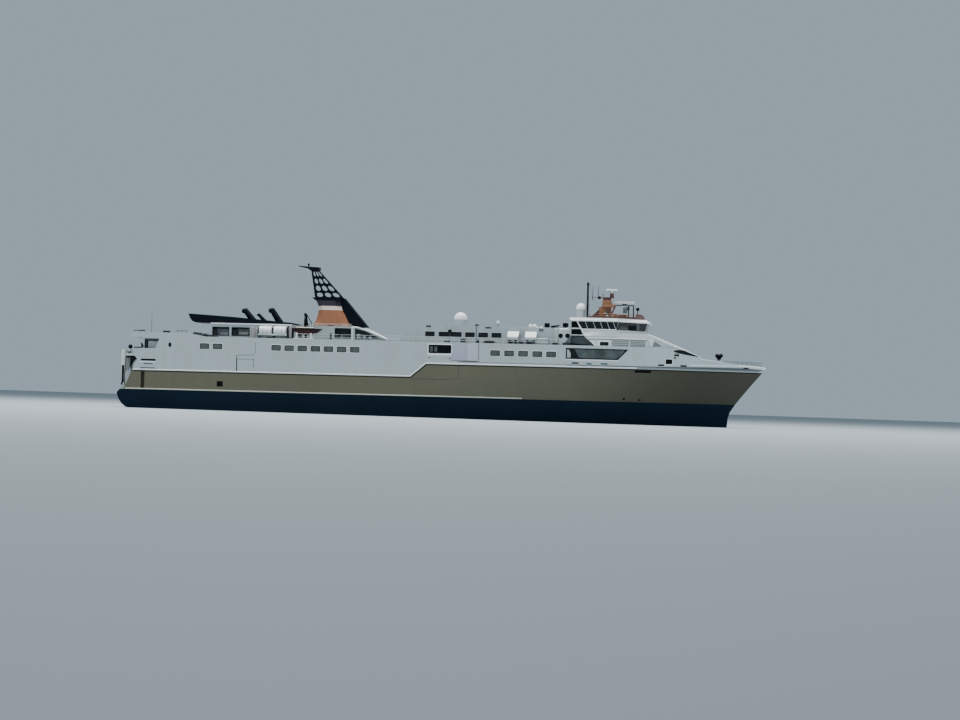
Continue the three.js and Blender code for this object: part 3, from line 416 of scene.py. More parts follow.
# Moulded rubber: a matt black edge round each pane.
rubber = enamel("black_rubber_seal", "#111315", rough=0.7, tone=0.1, streak=0.2, specular=0.2)
# Fourteen windows 143 mm long in three rows, by their after edges.
starts = [
    -3.509, -3.314, -2.439, -2.245, -2.050, -1.854, -1.661, -1.467, -1.272, 0.788, 0.992, 1.194, 1.400,
    1.599
]
small = [(x, x + 0.143, 0.920, 1.004) for x in starts]
SEAL = [(0.001, -0.003), (0.001, 0.0022), (-0.008, 0.0022), (-0.008, -0.003)]
FRAME = [(0, -0.003), (0, 0.002), (0.005, 0.0025), (0.007, 0.001), (0.007, -0.003)]
skinned("side_window_panes", panes(small, [
    (0, -0.003), (0, 0.0006), (0.002, 0.001)
]), blind_glass)
skinned("side_window_bars", frames([(x + 0.069, x + 0.073, 0.926, 0.998) for x in starts], [
    (0, -0.003), (0, 0.0014), (-0.0015, 0.0014), (-0.0015, -0.003)
], power=40), seam_and_shade_grey, looped=True)
skinned("side_window_seals", frames(small, SEAL), rubber, looped=True)
skinned("side_window_frames", frames(small, FRAME), trim_white, looped=True)
# The saloon's large window stands open in the plating, so it gets a deeper frame, a ledge and two blinds.
saloon_window = [(-0.117, 0.219, 0.939, 1.064)]
skinned("saloon_window_frames", frames(saloon_window, [
    (0, -0.012), (0, 0.002), (0.010, 0.0025), (0.013, 0.001), (0.013, -0.003)
], power=20), trim_white, looped=True)
skinned("saloon_window_ledge", moulding([
    (-0.125, 0.918), (0.215, 0.918)
], width=0.018, proud=0.0028), trim_white)
skinned("saloon_blinds", panes([
    (-0.098, -0.052, 0.962, 1.044), (-0.034, 0.012, 0.962, 1.040)
], [(0, -0.014), (0, -0.0115)], power=8), blind_glass)
dress(
    dark_glass, "lounge_glass_stbd", "lounge_glass_port", "house_glass_stbd", "house_glass_port",
    "wheelhouse_glass")
# The same tinted glass set deep in the wall: darker, because little sky reaches it.
deep_glass = glazing("deep_tinted_glass", "#04070c", rough=0.1, cloud=0.3, specular=0.2)
dress(deep_glass, "saloon_glass_stbd", "saloon_glass_port")


# Pockets and ports in the shell. Freeing ports, fairleads, the pilot door and the vent slots are boxes let
# into the plating, with dark liners inside as painted shade, and a rolled lip round two of them.

# Black enamels, brushed: satin and very dark, one neutral and one that shows blue on broad plates.
black_enamel = enamel("black_marine_enamel", "#04070c", rough=0.5, tone=0.1, streak=0.2, specular=0.12)
black_gloss = enamel("blue_black_enamel", "#060d18", rough=0.45, tone=0.1, streak=0.2, specular=0.12)
# In order: the slot behind the fender, a port in the tan shell, a recess under the bow moulding, the upper
# vent slot, three freeing ports below the lounge, two more forward, the stem's fairlead, the anchor pocket,
# and an eye.
ports = [
    (-4.386, -4.330, 0.322, 0.570), (-3.240, -3.150, 0.374, 0.454), (2.870, 3.105, 0.732, 0.770),
    (-4.393, -4.168, 0.728, 0.758), (1.968, 2.072, 0.836, 0.858), (2.184, 2.256, 0.832, 0.850),
    (2.382, 2.486, 0.836, 0.854), (3.203, 3.289, 0.838, 0.862), (3.520, 3.612, 0.836, 0.860),
    (4.426, 4.499, 0.822, 0.846), (3.311, 3.404, 0.868, 0.938), (3.425, 3.503, 0.984, 1.014)
]
# Black liners inside the pockets are their painted shade.
skinned("port_liners", panes(ports[1:], [
    (0.0005, -0.012), (0.0005, -0.001)
], power=60), black_enamel)
skinned("fender_slot", panes(ports[:1], [
    (0.0005, -0.018), (0.0005, -0.010)
], power=60), olive_shade)
skinned("pilot_door", panes([
    (-3.982, -3.937, 0.939, 1.004), (2.697, 2.730, 0.333, 0.361), (2.912, 2.956, 0.328, 0.348)
], [(0, -0.003), (0, 0.0012)], power=3.0), black_enamel)
skinned("scuppers", panes([
    (-0.118, -0.078, 0.868, 0.878), (0.180, 0.224, 0.862, 0.874)
], [(0, -0.003), (0, 0.0012)], power=4.0), seam_dark)
skinned("port_lips", frames(ports[10:], FRAME, power=12), trim_white, looped=True)
skinned(
    "port_ledges", moulding([(3.30, 0.853), (3.42, 0.853)], width=0.014, proud=0.0028), trim_white)
skinned(
    "pilot_bracket", panes([(3.425, 3.459, 0.946, 0.986)], [(0, -0.003), (0, 0.0014)], power=8), seam_and_shade_grey)
skinned("vent_slots", panes([
    (-4.345, -4.212, 0.677, 0.695), (-4.396, -4.171, 0.613, 0.631)
], [(0.0005, -0.012), (0.0005, -0.0055)], power=30), seam_and_shade_grey)
skinned("vent_ledges", moulding([
    (-4.40, 0.712), (-4.16, 0.712)
], width=0.012, proud=0.0028), trim_white)


# Decks. Aluminium plate with grip paint in grey green, brushed on thick, so it is dull and a little uneven
# in tone.
grip_paint = enamel("grip_deck_paint", "#6d7d76", rough=0.85, tone=0.08, streak=0.3)
dress(grip_paint, "saloon_deck", "weather_deck")


# Guard rails. Posts of 40 mm tube stand every 1.4 m inside the deck's edge with two rails, all welded; on
# the model that is 4 mm tube every 140 mm.
def rods(rows, count=8):
    """Rings of round rods and cones from rows of two ends and two radii in millimetres: a ring of each
    radius stands square to the line between the ends."""
    rows = np.asarray(rows, float) / 1000
    start, end = rows[:, :3], rows[:, 3:6]
    along = (end - start) / np.linalg.norm(end - start, axis=1)[:, None]
    helper = np.where(np.abs(along[:, 2:]) > 0.9, [[1.0, 0, 0]], [[0, 0, 1.0]])
    across = np.cross(along, helper)
    across /= np.linalg.norm(across, axis=1)[:, None]
    turn = np.linspace(0, 2 * np.pi, count, endpoint=False)[None, :, None]
    circle = np.cos(turn) * across[:, None] + np.sin(turn) * np.cross(along, across)[:, None]
    return np.stack([start[:, None] + rows[:, 6, None, None] * circle,
                     end[:, None] + rows[:, 7, None, None] * circle], 1)


def mirrored(rows, columns):
    """The rows and their mirror images in the centre line, with these columns' signs turned."""
    rows = np.asarray(rows, float)
    flip = np.ones(rows.shape[1])
    flip[list(columns)] = -1
    return np.concatenate([rows, rows * flip])


def railing(line, base, heights, radius=2.0):
    """Rods of a rail in millimetres along plan points (x, y): a post at each point from base to the top
    height, and between the points a rod at each height."""
    line = np.asarray(line, float)
    top = heights[-1]
    posts = np.column_stack([line, np.full(len(line), base), line, np.full(len(line), top)])
    a, b = line[:-1], line[1:]
    runs = [np.column_stack([a, np.full(len(a), h), b, np.full(len(b), h)]) for h in heights]
    rows = np.concatenate([posts, *runs])
    return np.column_stack([rows, np.full((len(rows), 2), radius)])


def tubes(name, rows, material, count=8, mirror=True, body="ship"):
    """A piece of round rods, on both sides of the ship where mirror is set."""
    return skinned(name, rods(mirrored(rows, (1, 4)) if mirror else rows, count=count), material,
                   body=body)


rail_x = np.arange(-2100, 1931, 140.0)
rail_y = -1000 * shell_side(rail_x / 1000, 1.1) + 34
side_rail = railing(np.column_stack([rail_x, rail_y]), base=1075, heights=[1140, 1178])
# Enamel on thin tube, chipped and repainted: a slightly grey white.
rail_enamel = enamel("white_rail_enamel", "#c3c8ca", rough=0.4, tone=0.04, streak=0.2)
tubes("side_rails", side_rail, rail_enamel, count=6)


# Ramp fittings. Rubber seals run up the ramp's edges, and five rubber panels on its outer face take the
# wear where it lies on a quay; all are bolted on and turn with the ramp.
def blocks(rows):
    """Rings of upright blocks from rows of x0, x1, y0, y1, z0, z1 in millimetres: the plan at z0 and at
    z1."""
    x0, x1, y0, y1, z0, z1 = np.asarray(rows, float).T / 1000
    plan = np.stack([np.stack([x0, x1, x1, x0], -1), np.stack([y0, y0, y1, y1], -1)], -1)
    return np.stack([np.concatenate([plan, np.repeat(z[:, None], 4, 1)[..., None]], -1) for z in (z0, z1)],
                    1)


def bevelled(made, width, segments=2):
    """Rounds the edges of a piece by a bevel of this width in metres."""
    edge = made.modifiers.new("edge", "BEVEL")
    edge.width, edge.segments, edge.limit_method = width, segments, "ANGLE"
    return made


def boxes(name, rows, material, width=0.0, segments=2, mirror=True, body="ship"):
    """A piece of upright blocks, on both sides of the ship where mirror is set, with edges bevelled by the
    width in metres where there is one."""
    made = skinned(name, blocks(mirrored(rows, (2, 3)) if mirror else rows), material, body=body)
    return bevelled(made, width, segments) if width else made


boxes("ramp_edge_seals", [
    (-4722, -4686, -703, -699, 400, 657), (-4732, -4704, -703, -699, 352, 402)
], rubber, width=0.001, body="ramp")
boxes("ramp_back_panels", [
    (-4736, -4731, y - 90, y + 90, 440, 640) for y in (-480, -240, 0, 240, 480)
], rubber, width=0.002, mirror=False, body="ramp")


# Ramp posts and quarter fenders. Galvanised boxes are bolted down each side of the ramp, with white caps
# and dark heads, and a moulded rubber fender fills each quarter's corner behind them.
def plates(quads, proud=1.0, back=3.0, sides=(-1, 1)):
    """Rings of flat plates in millimetres: each row is four corners (x, y, z) given for the starboard side,
    and the plate reaches proud and back of them along its normal, the cross product of its diagonals."""
    quads = np.asarray(quads, float).reshape(-1, 4, 3)
    quads = np.concatenate([quads * [1, -side, 1] for side in sides])
    square = np.cross(quads[:, 2] - quads[:, 0], quads[:, 3] - quads[:, 1])
    square *= np.where(square[:, 1:2] * quads[:, :1, 1] < 0, -1, 1)
    square /= np.linalg.norm(square, axis=1)[:, None]
    face, rear = quads + proud * square[:, None], quads - back * square[:, None]
    a, b, c, d = 0, 1, 2, 3
    return np.stack([np.stack([face[:, a], face[:, d], rear[:, d], rear[:, a]], 1),
                     np.stack([face[:, b], face[:, c], rear[:, c], rear[:, b]], 1)], 1) / 1000


# Brushed deck enamels: a mid grey for gear, streaked by wear, and a dark grey for posts and fittings, also
# used as painted shade in recesses and under decks.
grey_enamel = enamel("grey_deck_enamel", "#5d6569", rough=0.5, tone=0.08, streak=0.5)
dark_grey = enamel("dark_grey_enamel", "#2a3136", rough=0.55, tone=0.08, streak=0.3, specular=0.2)
dress(grey_enamel, "windlass")
boxes("post_caps", [(-4652, -4568, -764, -706, 797, 812)], trim_white, width=0.004)
# The fender's outline in (x, z), walked up its after edge and back.
fin = [(-4566, 625), (-4553, 625), (-4508, 700), (-4560, 716), (-4478, 752), (-4481, 797), (-4562, 797)]
fin = [(x, -836, z) for x, z in fin]
skinned("quarter_fenders", plates([
    fin[:4], [fin[3], fin[2], fin[4], fin[6]], [fin[6], fin[4], fin[5], (-4520, -836, 797)]
], proud=2, back=3), rubber)
# Galvanised plate, dulled by salt: a flat mid grey.
galvanised = enamel("galvanised_post", "#8c908d", rough=0.6, tone=0.1, streak=0.3)
skinned("post_faces", plates([
    [(-4649, -763, 560), (-4572, -763, 620), (-4572, -763, 766), (-4649, -763, 766)]
]), galvanised)
skinned("post_heads", plates([
    [(-4649, -763, 768), (-4572, -763, 768), (-4572, -763, 796), (-4649, -763, 796)]
]), dark_grey)
# Painted shade: dark plates on the screen's sides, where the side walls are cut out.
skinned("screen_shades", plates([
    [(-4364, -790, 836), (-4306, -790, 836), (-4306, -790, 1044), (-4364, -790, 1044)],
    [(-4306, -790, 1022), (-4112, -790, 1022), (-4112, -790, 1044), (-4306, -790, 1044)]
]), dark_grey)


# Mooring deck. Above the ramp stand capstans with a lamp on their post, a float below each lamp, fairleads
# and reels, all welded steel in brushed enamel.
def turned(profiles, count=20):
    """Rings of turned pieces: each is a centre (x, y) and a profile of (radius, z), in millimetres."""
    turn = np.linspace(0, 2 * np.pi, count, endpoint=False)
    made = []
    for (x, y), profile in profiles:
        radius, z = np.asarray(profile, float).T / 1000
        ring = np.stack([x / 1000 + radius[:, None] * np.cos(turn), y / 1000
                         + radius[:, None] * np.sin(turn), np.repeat(z[:, None], count, 1)], -1)
        made.append(ring)
    return np.stack(made)


def globe(x, y, z, radius, steps=9):
    """Centre and profile of a ball: radius times the sine and cosine of the angle from its lowest point."""
    turn = np.linspace(0.06, np.pi - 0.06, steps)
    return (x, y), np.stack([radius * np.sin(turn), z - radius * np.cos(turn)], -1)


skinned("mooring_balls", turned([
    globe(-4617, y, 936, 33) for y in (-640, 640)
]), black_enamel)
skinned("mooring_floats", turned([
    globe(-4622, y, 884, 25) for y in (-640, 640)
]), trim_white)
tubes("mooring_stands", [
    (-4615, -640, 833, -4615, -640, 940, 7, 5), (-4563, -640, 926, -4430, -640, 929, 9, 9),
    (-4500, -640, 833, -4500, -640, 926, 8, 6), (-4412, -790, 992, -4388, -790, 930, 10, 22),
    (-4440, -640, 833, -4440, -640, 946, 12, 8), (-4650, -560, 833, -4650, -560, 862, 22, 16)
], dark_grey, count=12)
boxes("mooring_reels", [
    (-4500, -4440, -560, -470, 833, 905), (-4640, -4610, -420, -330, 833, 868)
], grey_enamel, width=0.006)
tubes("flagpole", [
    (-4472, 0, 1148, -4474, 0, 1466, 6, 3), (-4472, 0, 1146, -4472, 0, 1166, 14, 10)
], grey_enamel, mirror=False)


# Visor roof's gear. Low tube rails stand along its edge, and boxes for ropes and fire gear fill the step
# where the roof comes down to the side deck; all are welded or bolted, in dark grey enamel.
tubes("visor_rails", [
    (-4552, -700, 1177, -4380, -700, 1180, 6, 6), (-4460, -700, 1177, -4400, -700, 1179, 10, 10),
    (-3904, -700, 1186, -3743, -700, 1186, 4, 4), (-3630, -780, 1162, -3507, -780, 1152, 9, 9),
    (-3704, -800, 1117, -3553, -800, 1115, 8, 8)
] + [
    (x, -700, 1148, x, -700, 1180, 3, 3) for x in (-4545, -4468, -4390, -3900, -3824, -3748)
] + [(x, -780, 1090, x, -780, 1158, 5, 5) for x in (-3620, -3565, -3512)], dark_grey)
boxes("visor_fittings", [
    (-4112, -4008, -720, -660, 1148, 1184), (-3650, -3596, -868, -790, 1118, 1150),
    (-3590, -3552, -868, -790, 1106, 1160), (-3545, -3470, -866, -780, 1096, 1140),
    (-3462, -3424, -866, -780, 1086, 1150), (-3416, -3330, -830, -740, 1076, 1134),
    (-3310, -3262, -830, -740, 1076, 1120)
], dark_grey, width=0.008)


# After deckhouse and exhaust casing. The bays are open to the sides, with a grey inner bulkhead of welded
# plate, corners painted dark as shade and canisters under canvas inside, and the black casing stands over
# them.
def flat_wall(half):
    """A wall function for an upright wall at this half breadth in metres."""
    return lambda x, z: np.full(np.shape(x), half)


dress(black_gloss, "exhaust_casing", "funnel_top")
dress(black_enamel, "main_mast", "boat_davit")
# Bay linings and roof vents, sprayed: dull grey enamels, darker than the walls as painted shade inside
# them.
bay_grey = enamel("shadow_grey_enamel", "#3c444a", rough=0.6, tone=0.08, streak=0.4)
inner_grey = enamel("bay_lining_enamel", "#8a8d93", rough=0.6, tone=0.12, streak=0.6)
# Woven canvas over the stored canisters: matt and mid grey, its weave far too fine to show.
bay_canvas = enamel("canister_cover_canvas", "#74787b", rough=0.8, tone=0.1, streak=0.3)
boxes("bay_bulkheads", [
    (-3398, -2216, -545, -540, 1078, 1300), (-2120, -1300, -200, -150, 1078, 1296)
], inner_grey)
boxes("bay_shades", [
    (-3396, -3330, -582, -546, 1078, 1300), (-3140, -3020, -582, -546, 1078, 1300),
    (-3400, -2830, -582, -546, 1232, 1300), (-1594, -1322, -330, -204, 1220, 1296)
], dark_grey)
tubes("bay_canisters", [
    (-3270, -556, 1150, -3150, -556, 1150, 36, 36), (-2990, -556, 1160, -2850, -556, 1160, 40, 40),
    (-3270, -560, 1078, -3270, -560, 1262, 4, 4), (-2930, -560, 1078, -2930, -560, 1262, 4, 4)
], bay_canvas, count=16)
bays = [(-3.394, -3.135, 1.128, 1.260), (-3.103, -2.828, 1.128, 1.260)]
skinned("bay_edges", frames(bays, [
    (0, -0.006), (0, 0.001), (-0.006, 0.001), (-0.006, -0.006)
], wall=flat_wall(0.600), power=40), rubber, looped=True)
# Locker enamel, sprayed: a pale grey with a hint of rose.
rose_grey = enamel("rose_grey_enamel", "#aaa6aa", rough=0.5, tone=0.08, streak=0.3)
boxes("aft_house_lockers", [
    (-2812, -2742, -632, -600, 1078, 1272), (-2736, -2690, -640, -600, 1078, 1246),
    (-2232, -2186, -660, -600, 1078, 1284)
], rose_grey, width=0.006)
boxes("aft_house_fittings", [
    (-3322, -3248, -590, -520, 1316, 1340), (-2252, -2234, -660, -600, 1078, 1290),
    (-2184, -2164, -640, -600, 1078, 1268), (-2690, -2664, -640, -600, 1076, 1120),
    (-2560, -2510, -690, -610, 1076, 1120)
], black_enamel, width=0.003)
boxes("aft_house_eaves", [(-3416, -2195, -612, -598, 1300, 1319)], trim_white)


# Exhaust uptakes. Three steel pipes lean aft out of the casing, wrapped in lagging under black cloth, and
# each ends in an elbow.

# Each row is a pipe's head and foot, x and z of both, and their radii.
lagging = [
    (-3012, 1524, -2889, 1375, 41, 49), (-2806, 1468, -2712, 1368, 23, 30),
    (-2605, 1538, -2480, 1350, 41, 51)
]
tubes("uptake_lagging", [(bx, -90, bz, tx, -90, tz, r1, r0) for tx, tz, bx, bz, r0, r1 in lagging] + [
    (tx, -90, tz, tx - 1.3 * r0, -90, tz - 8, r0, r0 * 0.7) for tx, tz, bx, bz, r0, r1 in lagging
], black_gloss, count=20, mirror=False)
skinned("uptake_elbows", turned([
    globe(tx, -90, tz, r0) for tx, tz, bx, bz, r0, r1 in lagging
]), black_gloss)


# Life raft canisters. Each is a two-part gelcoat drum, strapped to its steel cradle by two webbing bands,
# with dark chocks between the drums.
def parted(name, base, parts, rough=0.5):
    """Satin enamel in several colours: each part turns the colour to its own where the object's x and z lie
    past its limits (axis, sign, metres), all limits at once."""
    made = enamel(name, base, rough=rough, tone=0.1, streak=0.4)
    tree = made.node_tree
    shader = tree.nodes["Principled BSDF"]
    where = add(tree, "ShaderNodeTexCoord")
    split = add(tree, "ShaderNodeSeparateXYZ", {"Vector": (where, "Object")})
    source = shader.inputs["Base Color"].links[0].from_socket
    for code, limits in parts:
        mask = None
        for axis, sign, limit in limits:
            test = add(tree, "ShaderNodeMath", {0: (split, axis)}, {1: limit},
                       operation="GREATER_THAN" if sign > 0 else "LESS_THAN")
            if mask is None:
                mask = test
            else:
                mask = add(tree, "ShaderNodeMath", {0: (mask, "Value"), 1: (test, "Value")},
                           operation="MULTIPLY")
        mixed = add(tree, "ShaderNodeMix", {0: (mask, "Value")}, data_type="RGBA")
        tree.links.new(source, mixed.inputs[6])
        mixed.inputs[7].default_value = linear(code)
        source = mixed.outputs[2]
    tree.links.new(source, shader.inputs["Base Color"])
    return made


# Gelcoat out of the mould: smooth and bright white. On the locker boxes and the domes' skirts a pale grey
# is painted as their shade.
radome_gelcoat = enamel("white_gelcoat", "#eff1f1", rough=0.3, tone=0.02, streak=0.08)
shaded_gelcoat = enamel("gelcoat_painted_shade", "#a9b2b6", rough=0.5, tone=0.05, streak=0.3)
dress(radome_gelcoat, "antenna_dome_mid", "antenna_dome_fore", "radar_scanner_top", "radar_scanner_low")
# Drums of white gelcoat on a cradle of grey enamelled steel: bright above, dark below the lowest seam.
dress(parted("gelcoat_on_grey_cradle", "#eff1f1", [
    ("#4d5458", [("Z", -1, 1.148)])
], rough=0.3), "raft_rack_stbd", "raft_rack_port")
dress(shaded_gelcoat, "raft_boxes_stbd", "raft_boxes_port")
# Woven webbing: matt and pale grey, its weave far too fine to show.
webbing = enamel("pale_webbing", "#b3b9b9", rough=0.7, tone=0.1, streak=0.2)
straps = [
    (x0 + 176 * share - 3, -700, 1213, x0 + 176 * share + 3, -700, 1213, 71.2, 71.2)
    for x0 in (-2652, -2434) for share in (0.3, 0.7)
]
tubes("raft_straps", straps, webbing, count=24)
boxes("raft_chocks", [
    (-2474, -2438, -690, -640, 1080, 1262), (-2690, -2656, -690, -640, 1080, 1256),
    (-2256, -2240, -690, -640, 1080, 1258)
], dark_grey)
tubes("raft_ends", [
    (x, -700, 1213, x + 4, -700, 1213, 73, 73) for x in (-2566, -2348)
], trim_white, count=24)


# Raft lockers. Two gelcoat boxes with sloping lids hang on the forward house's side over a dark steel
# stand. The lid is a moulding of its own, painted paler than the box as a highlight where it faces the sky.
boxes("locker_stands", [
    (1034, 1066, -790, -660, 1104, 1162), (1120, 1166, -790, -660, 1100, 1162),
    (1192, 1262, -800, -700, 1078, 1152), (1292, 1330, -790, -660, 1104, 1162),
    (1384, 1424, -790, -660, 1110, 1162)
], dark_grey, width=0.004)
skinned("locker_lids", plates([
    [(x0 - 4, -790, 1204), (x0 + 158, -790, 1204), (x0 + 158, -680, 1286), (x0 - 4, -680, 1286)]
    for x0 in (1022, 1280)
], proud=3, back=2), bridge_white)


# Rescue boat. A glassfibre boat in its chocks under the davit, with a rubber fender along each gunwale and
# two falls from the davit's head to its lifting points.

# Pigmented gelcoat: dark maroon with a soft shine.
boat_gelcoat = enamel("boat_shell_gelcoat", "#35191c", rough=0.35, tone=0.08, streak=0.2, specular=0.3)
dress(boat_gelcoat, "rescue_boat")
tubes("boat_falls", [
    (-1990, -712, 1300, -2110, -700, 1262, 1.6, 1.6), (-1990, -712, 1300, -1790, -700, 1262, 1.6, 1.6)
], rail_enamel, count=6, mirror=False)
boxes("boat_gunwale", [
    (-2162, -1740, -774, -766, 1242, 1260), (-2162, -1740, -624, -616, 1242, 1260)
], rubber, width=0.003, mirror=False)
boxes("boat_canopy", [
    (-2110, -1850, -740, -650, 1258, 1280)
], pale_enamel, width=0.01, mirror=False)
boxes("boat_chocks", [
    (-2100, -2076, -780, -620, 1076, 1196), (-1886, -1862, -780, -620, 1076, 1190),
    (-2140, -1830, -786, -778, 1104, 1116)
], trim_white, width=0.003, mirror=False)
# The davit's stays turn with it.
tubes("davit_stays", [
    (-1988, -586, 1478, -1896, -586, 1330, 6.5, 6.5), (-1896, -586, 1330, -1990, -586, 1322, 3.5, 3.5)
], black_enamel, mirror=False, body="davit")


# Funnel. Orange enamel over steel with a rose and a dark violet band, a grab rail along its foot, and black
# lattice and fin above, all welded.

# Sprayed enamels with a satin sheen: a muted orange that soot has streaked, a pale rose and a very dark
# violet.
orange_enamel = enamel("orange_funnel_enamel", "#955e40", rough=0.45, tone=0.05, streak=0.4)
rose_enamel = enamel("rose_funnel_enamel", "#f2d9d0", rough=0.45, tone=0.03, streak=0.2)
dark_violet = enamel("violet_funnel_enamel", "#2c2234", rough=0.45, tone=0.06, streak=0.2)
dress(orange_enamel, "funnel_casing")
dress(rose_enamel, "funnel_light_band")
dress(dark_violet, "funnel_dark_band")
foot = [
    (-2010, -235), (-1900, -235), (-1790, -235), (-1680, -235), (-1570, -235), (-1460, -235), (-1380, -235)
]
tubes("funnel_rails", railing(foot, base=1313, heights=[1333, 1352]), rail_enamel, count=6)
# Enamelled hose boxes: dull maroon.
maroon = enamel("maroon_box_enamel", "#54282f", rough=0.5, tone=0.08, streak=0.2)
boxes("funnel_fittings", [
    (-1702, -1633, -380, -320, 1311, 1330), (-1560, -1520, -340, -300, 1313, 1330)
], maroon, width=0.004)


# Funnel house. Plate panels close its sides as far as the door, and a welded white tube slopes down over
# the opening forward of them, where a dark plate is painted shade inside and lockers stand on the deck.
skinned("funnel_house_panels", plates([
    [(-1744, -400, 1130), (-1594, -400, 1130), (-1594, -400, 1290), (-1744, -400, 1290)]
], proud=1.5, back=12), white_enamel)
skinned("funnel_house_shades", plates([
    [(-1288, -395, 1082), (-896, -88, 1082), (-896, -88, 1150), (-1288, -395, 1290)]
], proud=0, back=6), dark_grey)
tubes("funnel_house_beams", [
    (-1330, -402, 1080, -1330, -402, 1304, 14, 14), (-1330, -402, 1302, -1265, -396, 1304, 10, 10),
    (-1265, -396, 1304, -1128, -282, 1258, 12, 12), (-1128, -282, 1258, -880, -90, 1150, 12, 9)
], trim_white, count=12)
boxes("funnel_house_lockers", [
    (-1262, -1212, -410, -380, 1076, 1204), (-1180, -1136, -360, -330, 1076, 1186),
    (-1100, -1060, -300, -270, 1076, 1168), (-1560, -1400, -250, -210, 1076, 1200)
], inner_grey, width=0.006)
boxes("funnel_house_door", [(-1664, -1634, -408, -400, 1076, 1206)], dark_grey, width=0.004)


# Forward deckhouse. Tinted panes stand in a row under its roof, five a side and the second a wide one, each
# in a white frame of rolled section that is welded to the wall.
house_rows = [
    (-0.205, -0.063, 1.190, 1.262), (-0.007, 0.333, 1.190, 1.262), (0.384, 0.526, 1.190, 1.262),
    (0.577, 0.721, 1.190, 1.262), (0.772, 0.916, 1.190, 1.262)
]
skinned(
    "house_window_frames", frames(house_rows, FRAME, wall=flat_wall(0.640), power=16), white_enamel,
    looped=True)


# Forward house's gear. Lockers stand along the side deck's edge, and vents, ducts and boxes on the roof,
# welded or bolted down and brushed with deck enamels.
boxes("deck_lockers", [
    (102, 187, -815, -780, 1076, 1129), (329, 413, -730, -690, 1076, 1172),
    (573, 615, -815, -785, 1076, 1155), (677, 845, -815, -780, 1076, 1147),
    (1671, 1760, -815, -780, 1076, 1136), (1828, 1945, -790, -760, 1076, 1138)
], dark_grey, width=0.005)
boxes("roof_vents", [
    (520, 574, -610, -560, 1354, 1384), (-195, -121, -643, -638, 1323, 1351),
    (679, 763, -643, -638, 1322, 1348)
], bay_grey, width=0.004)
boxes("roof_boxes", [
    (1532, 1604, -545, -455, 1362, 1424), (1544, 1592, -520, -480, 1354, 1364)
], black_enamel, width=0.012, segments=3)
boxes("roof_ducts", [
    (1682, 1756, -560, -500, 1386, 1406), (1700, 1738, -545, -515, 1354, 1388),
    (1462, 1530, -650, -638, 1304, 1336)
], grey_enamel, width=0.004)


# Air casings. Welded plate casings with rounded corners stand where the house meets the bridge. The
# foremost has two round ports, and a low rail runs round the after one.
boxes("side_casings", [
    (1434, 1616, -770, -700, 1076, 1197), (1700, 1760, -700, -640, 1076, 1352)
], white_enamel, width=0.01)
boxes("wing_casings", [
    (1764, 1925, -742, -600, 1076, 1352)
], white_enamel, width=0.03, segments=4)
boxes("casing_rails", [
    (1434, 1640, -776, -768, 1176, 1186), (1440, 1616, -774, -769, 1112, 1118),
    (1622, 1632, -776, -768, 1080, 1184)
], grey_enamel, width=0.002)
tubes("casing_ports", [
    (1791, -738, 1238, 1791, -748, 1238, 34, 32), (1891, -738, 1240, 1891, -748, 1240, 34, 32)
], black_enamel, count=20)


# Domes, lamps and side rails. Small aerial domes sit on the roof, signal lamps on posts by the rails, and
# the large dome stands on a turned skirt; the domes are gelcoat and the rest enamelled steel.
skinned("roof_domes", turned([
    globe(x, y, 1376, 30) for x in (1326, 1384) for y in (-500, 500)
] + [globe(833, -400, 1425, 22)]), radome_gelcoat)
tubes("house_posts", [
    (833, -400, 1354, 833, -400, 1425, 8, 8), (174, -750, 1076, 174, -750, 1262, 4, 4),
    (548, -644, 1076, 548, -644, 1372, 5, 5), (174, 750, 1076, 174, 750, 1262, 4, 4),
    (1845, -640, 1340, 1845, -640, 1395, 16, 10)
], grey_enamel, mirror=False)
skinned("signal_lamps", turned([
    ((174, -750), [(2, 1251), (26, 1253), (29, 1270), (24, 1288), (3, 1294)]),
    ((174, 750), [(2, 1251), (26, 1253), (29, 1270), (24, 1288), (3, 1294)]),
    ((1850, -640), [(2, 1366), (36, 1368), (44, 1394), (40, 1424), (3, 1430)])
]), black_enamel)
# The skirt's pale grey is painted shade under the dome.
skinned("dome_skirts", turned([
    ((228, 0), [(93, 1355), (95, 1400), (98, 1440), (99, 1466)])
], count=32), shaded_gelcoat)
house_line = [(x, -790) for x in range(-360, 1001, 136)]
tubes(
    "house_side_rails", railing(house_line, base=1076, heights=[1132, 1160], radius=1.6), rail_enamel,
    count=6)


# Roofs. Welded seams cross the forward house's roof and the visor about every 2 m of the ship, and flush
# aluminium hatches and low mushroom vents are set between them. The photo doesn't show the roofs, so this
# is a guess.
seam_x = [*range(-300, 1750, 205)]
boxes("roof_seams", [(x - 2, x + 2, -636, 636, 1355, 1357) for x in seam_x] + [
    (-400, 1786, y - 2, y + 2, 1355, 1357) for y in (-320, 320)
] + [
    (x - 2, x + 2, -860, 860, 1149, 1151) for x in range(-4400, -3700, 170)
], seam_and_shade_grey, mirror=False)
boxes("roof_hatches", [
    (-230, -120, -230, -120, 1355, 1366), (560, 680, -210, -90, 1355, 1365),
    (960, 1120, -250, -130, 1355, 1366), (1420, 1560, -260, -150, 1355, 1366),
    (-4250, -4120, -330, -210, 1149, 1159), (-3930, -3800, -330, -210, 1149, 1159),
    (1990, 2070, -330, -240, 1507, 1517)
], grey_enamel, width=0.004)
skinned("roof_vent_cowls", turned([
    ((x, y), [(30, z - 1), (30, z + 5), (40, z + 6), (36, z + 11), (3, z + 12)])
    for x, z in ((330, 1356), (1240, 1356), (-4020, 1150)) for y in (-40, 40)
]), white_enamel)


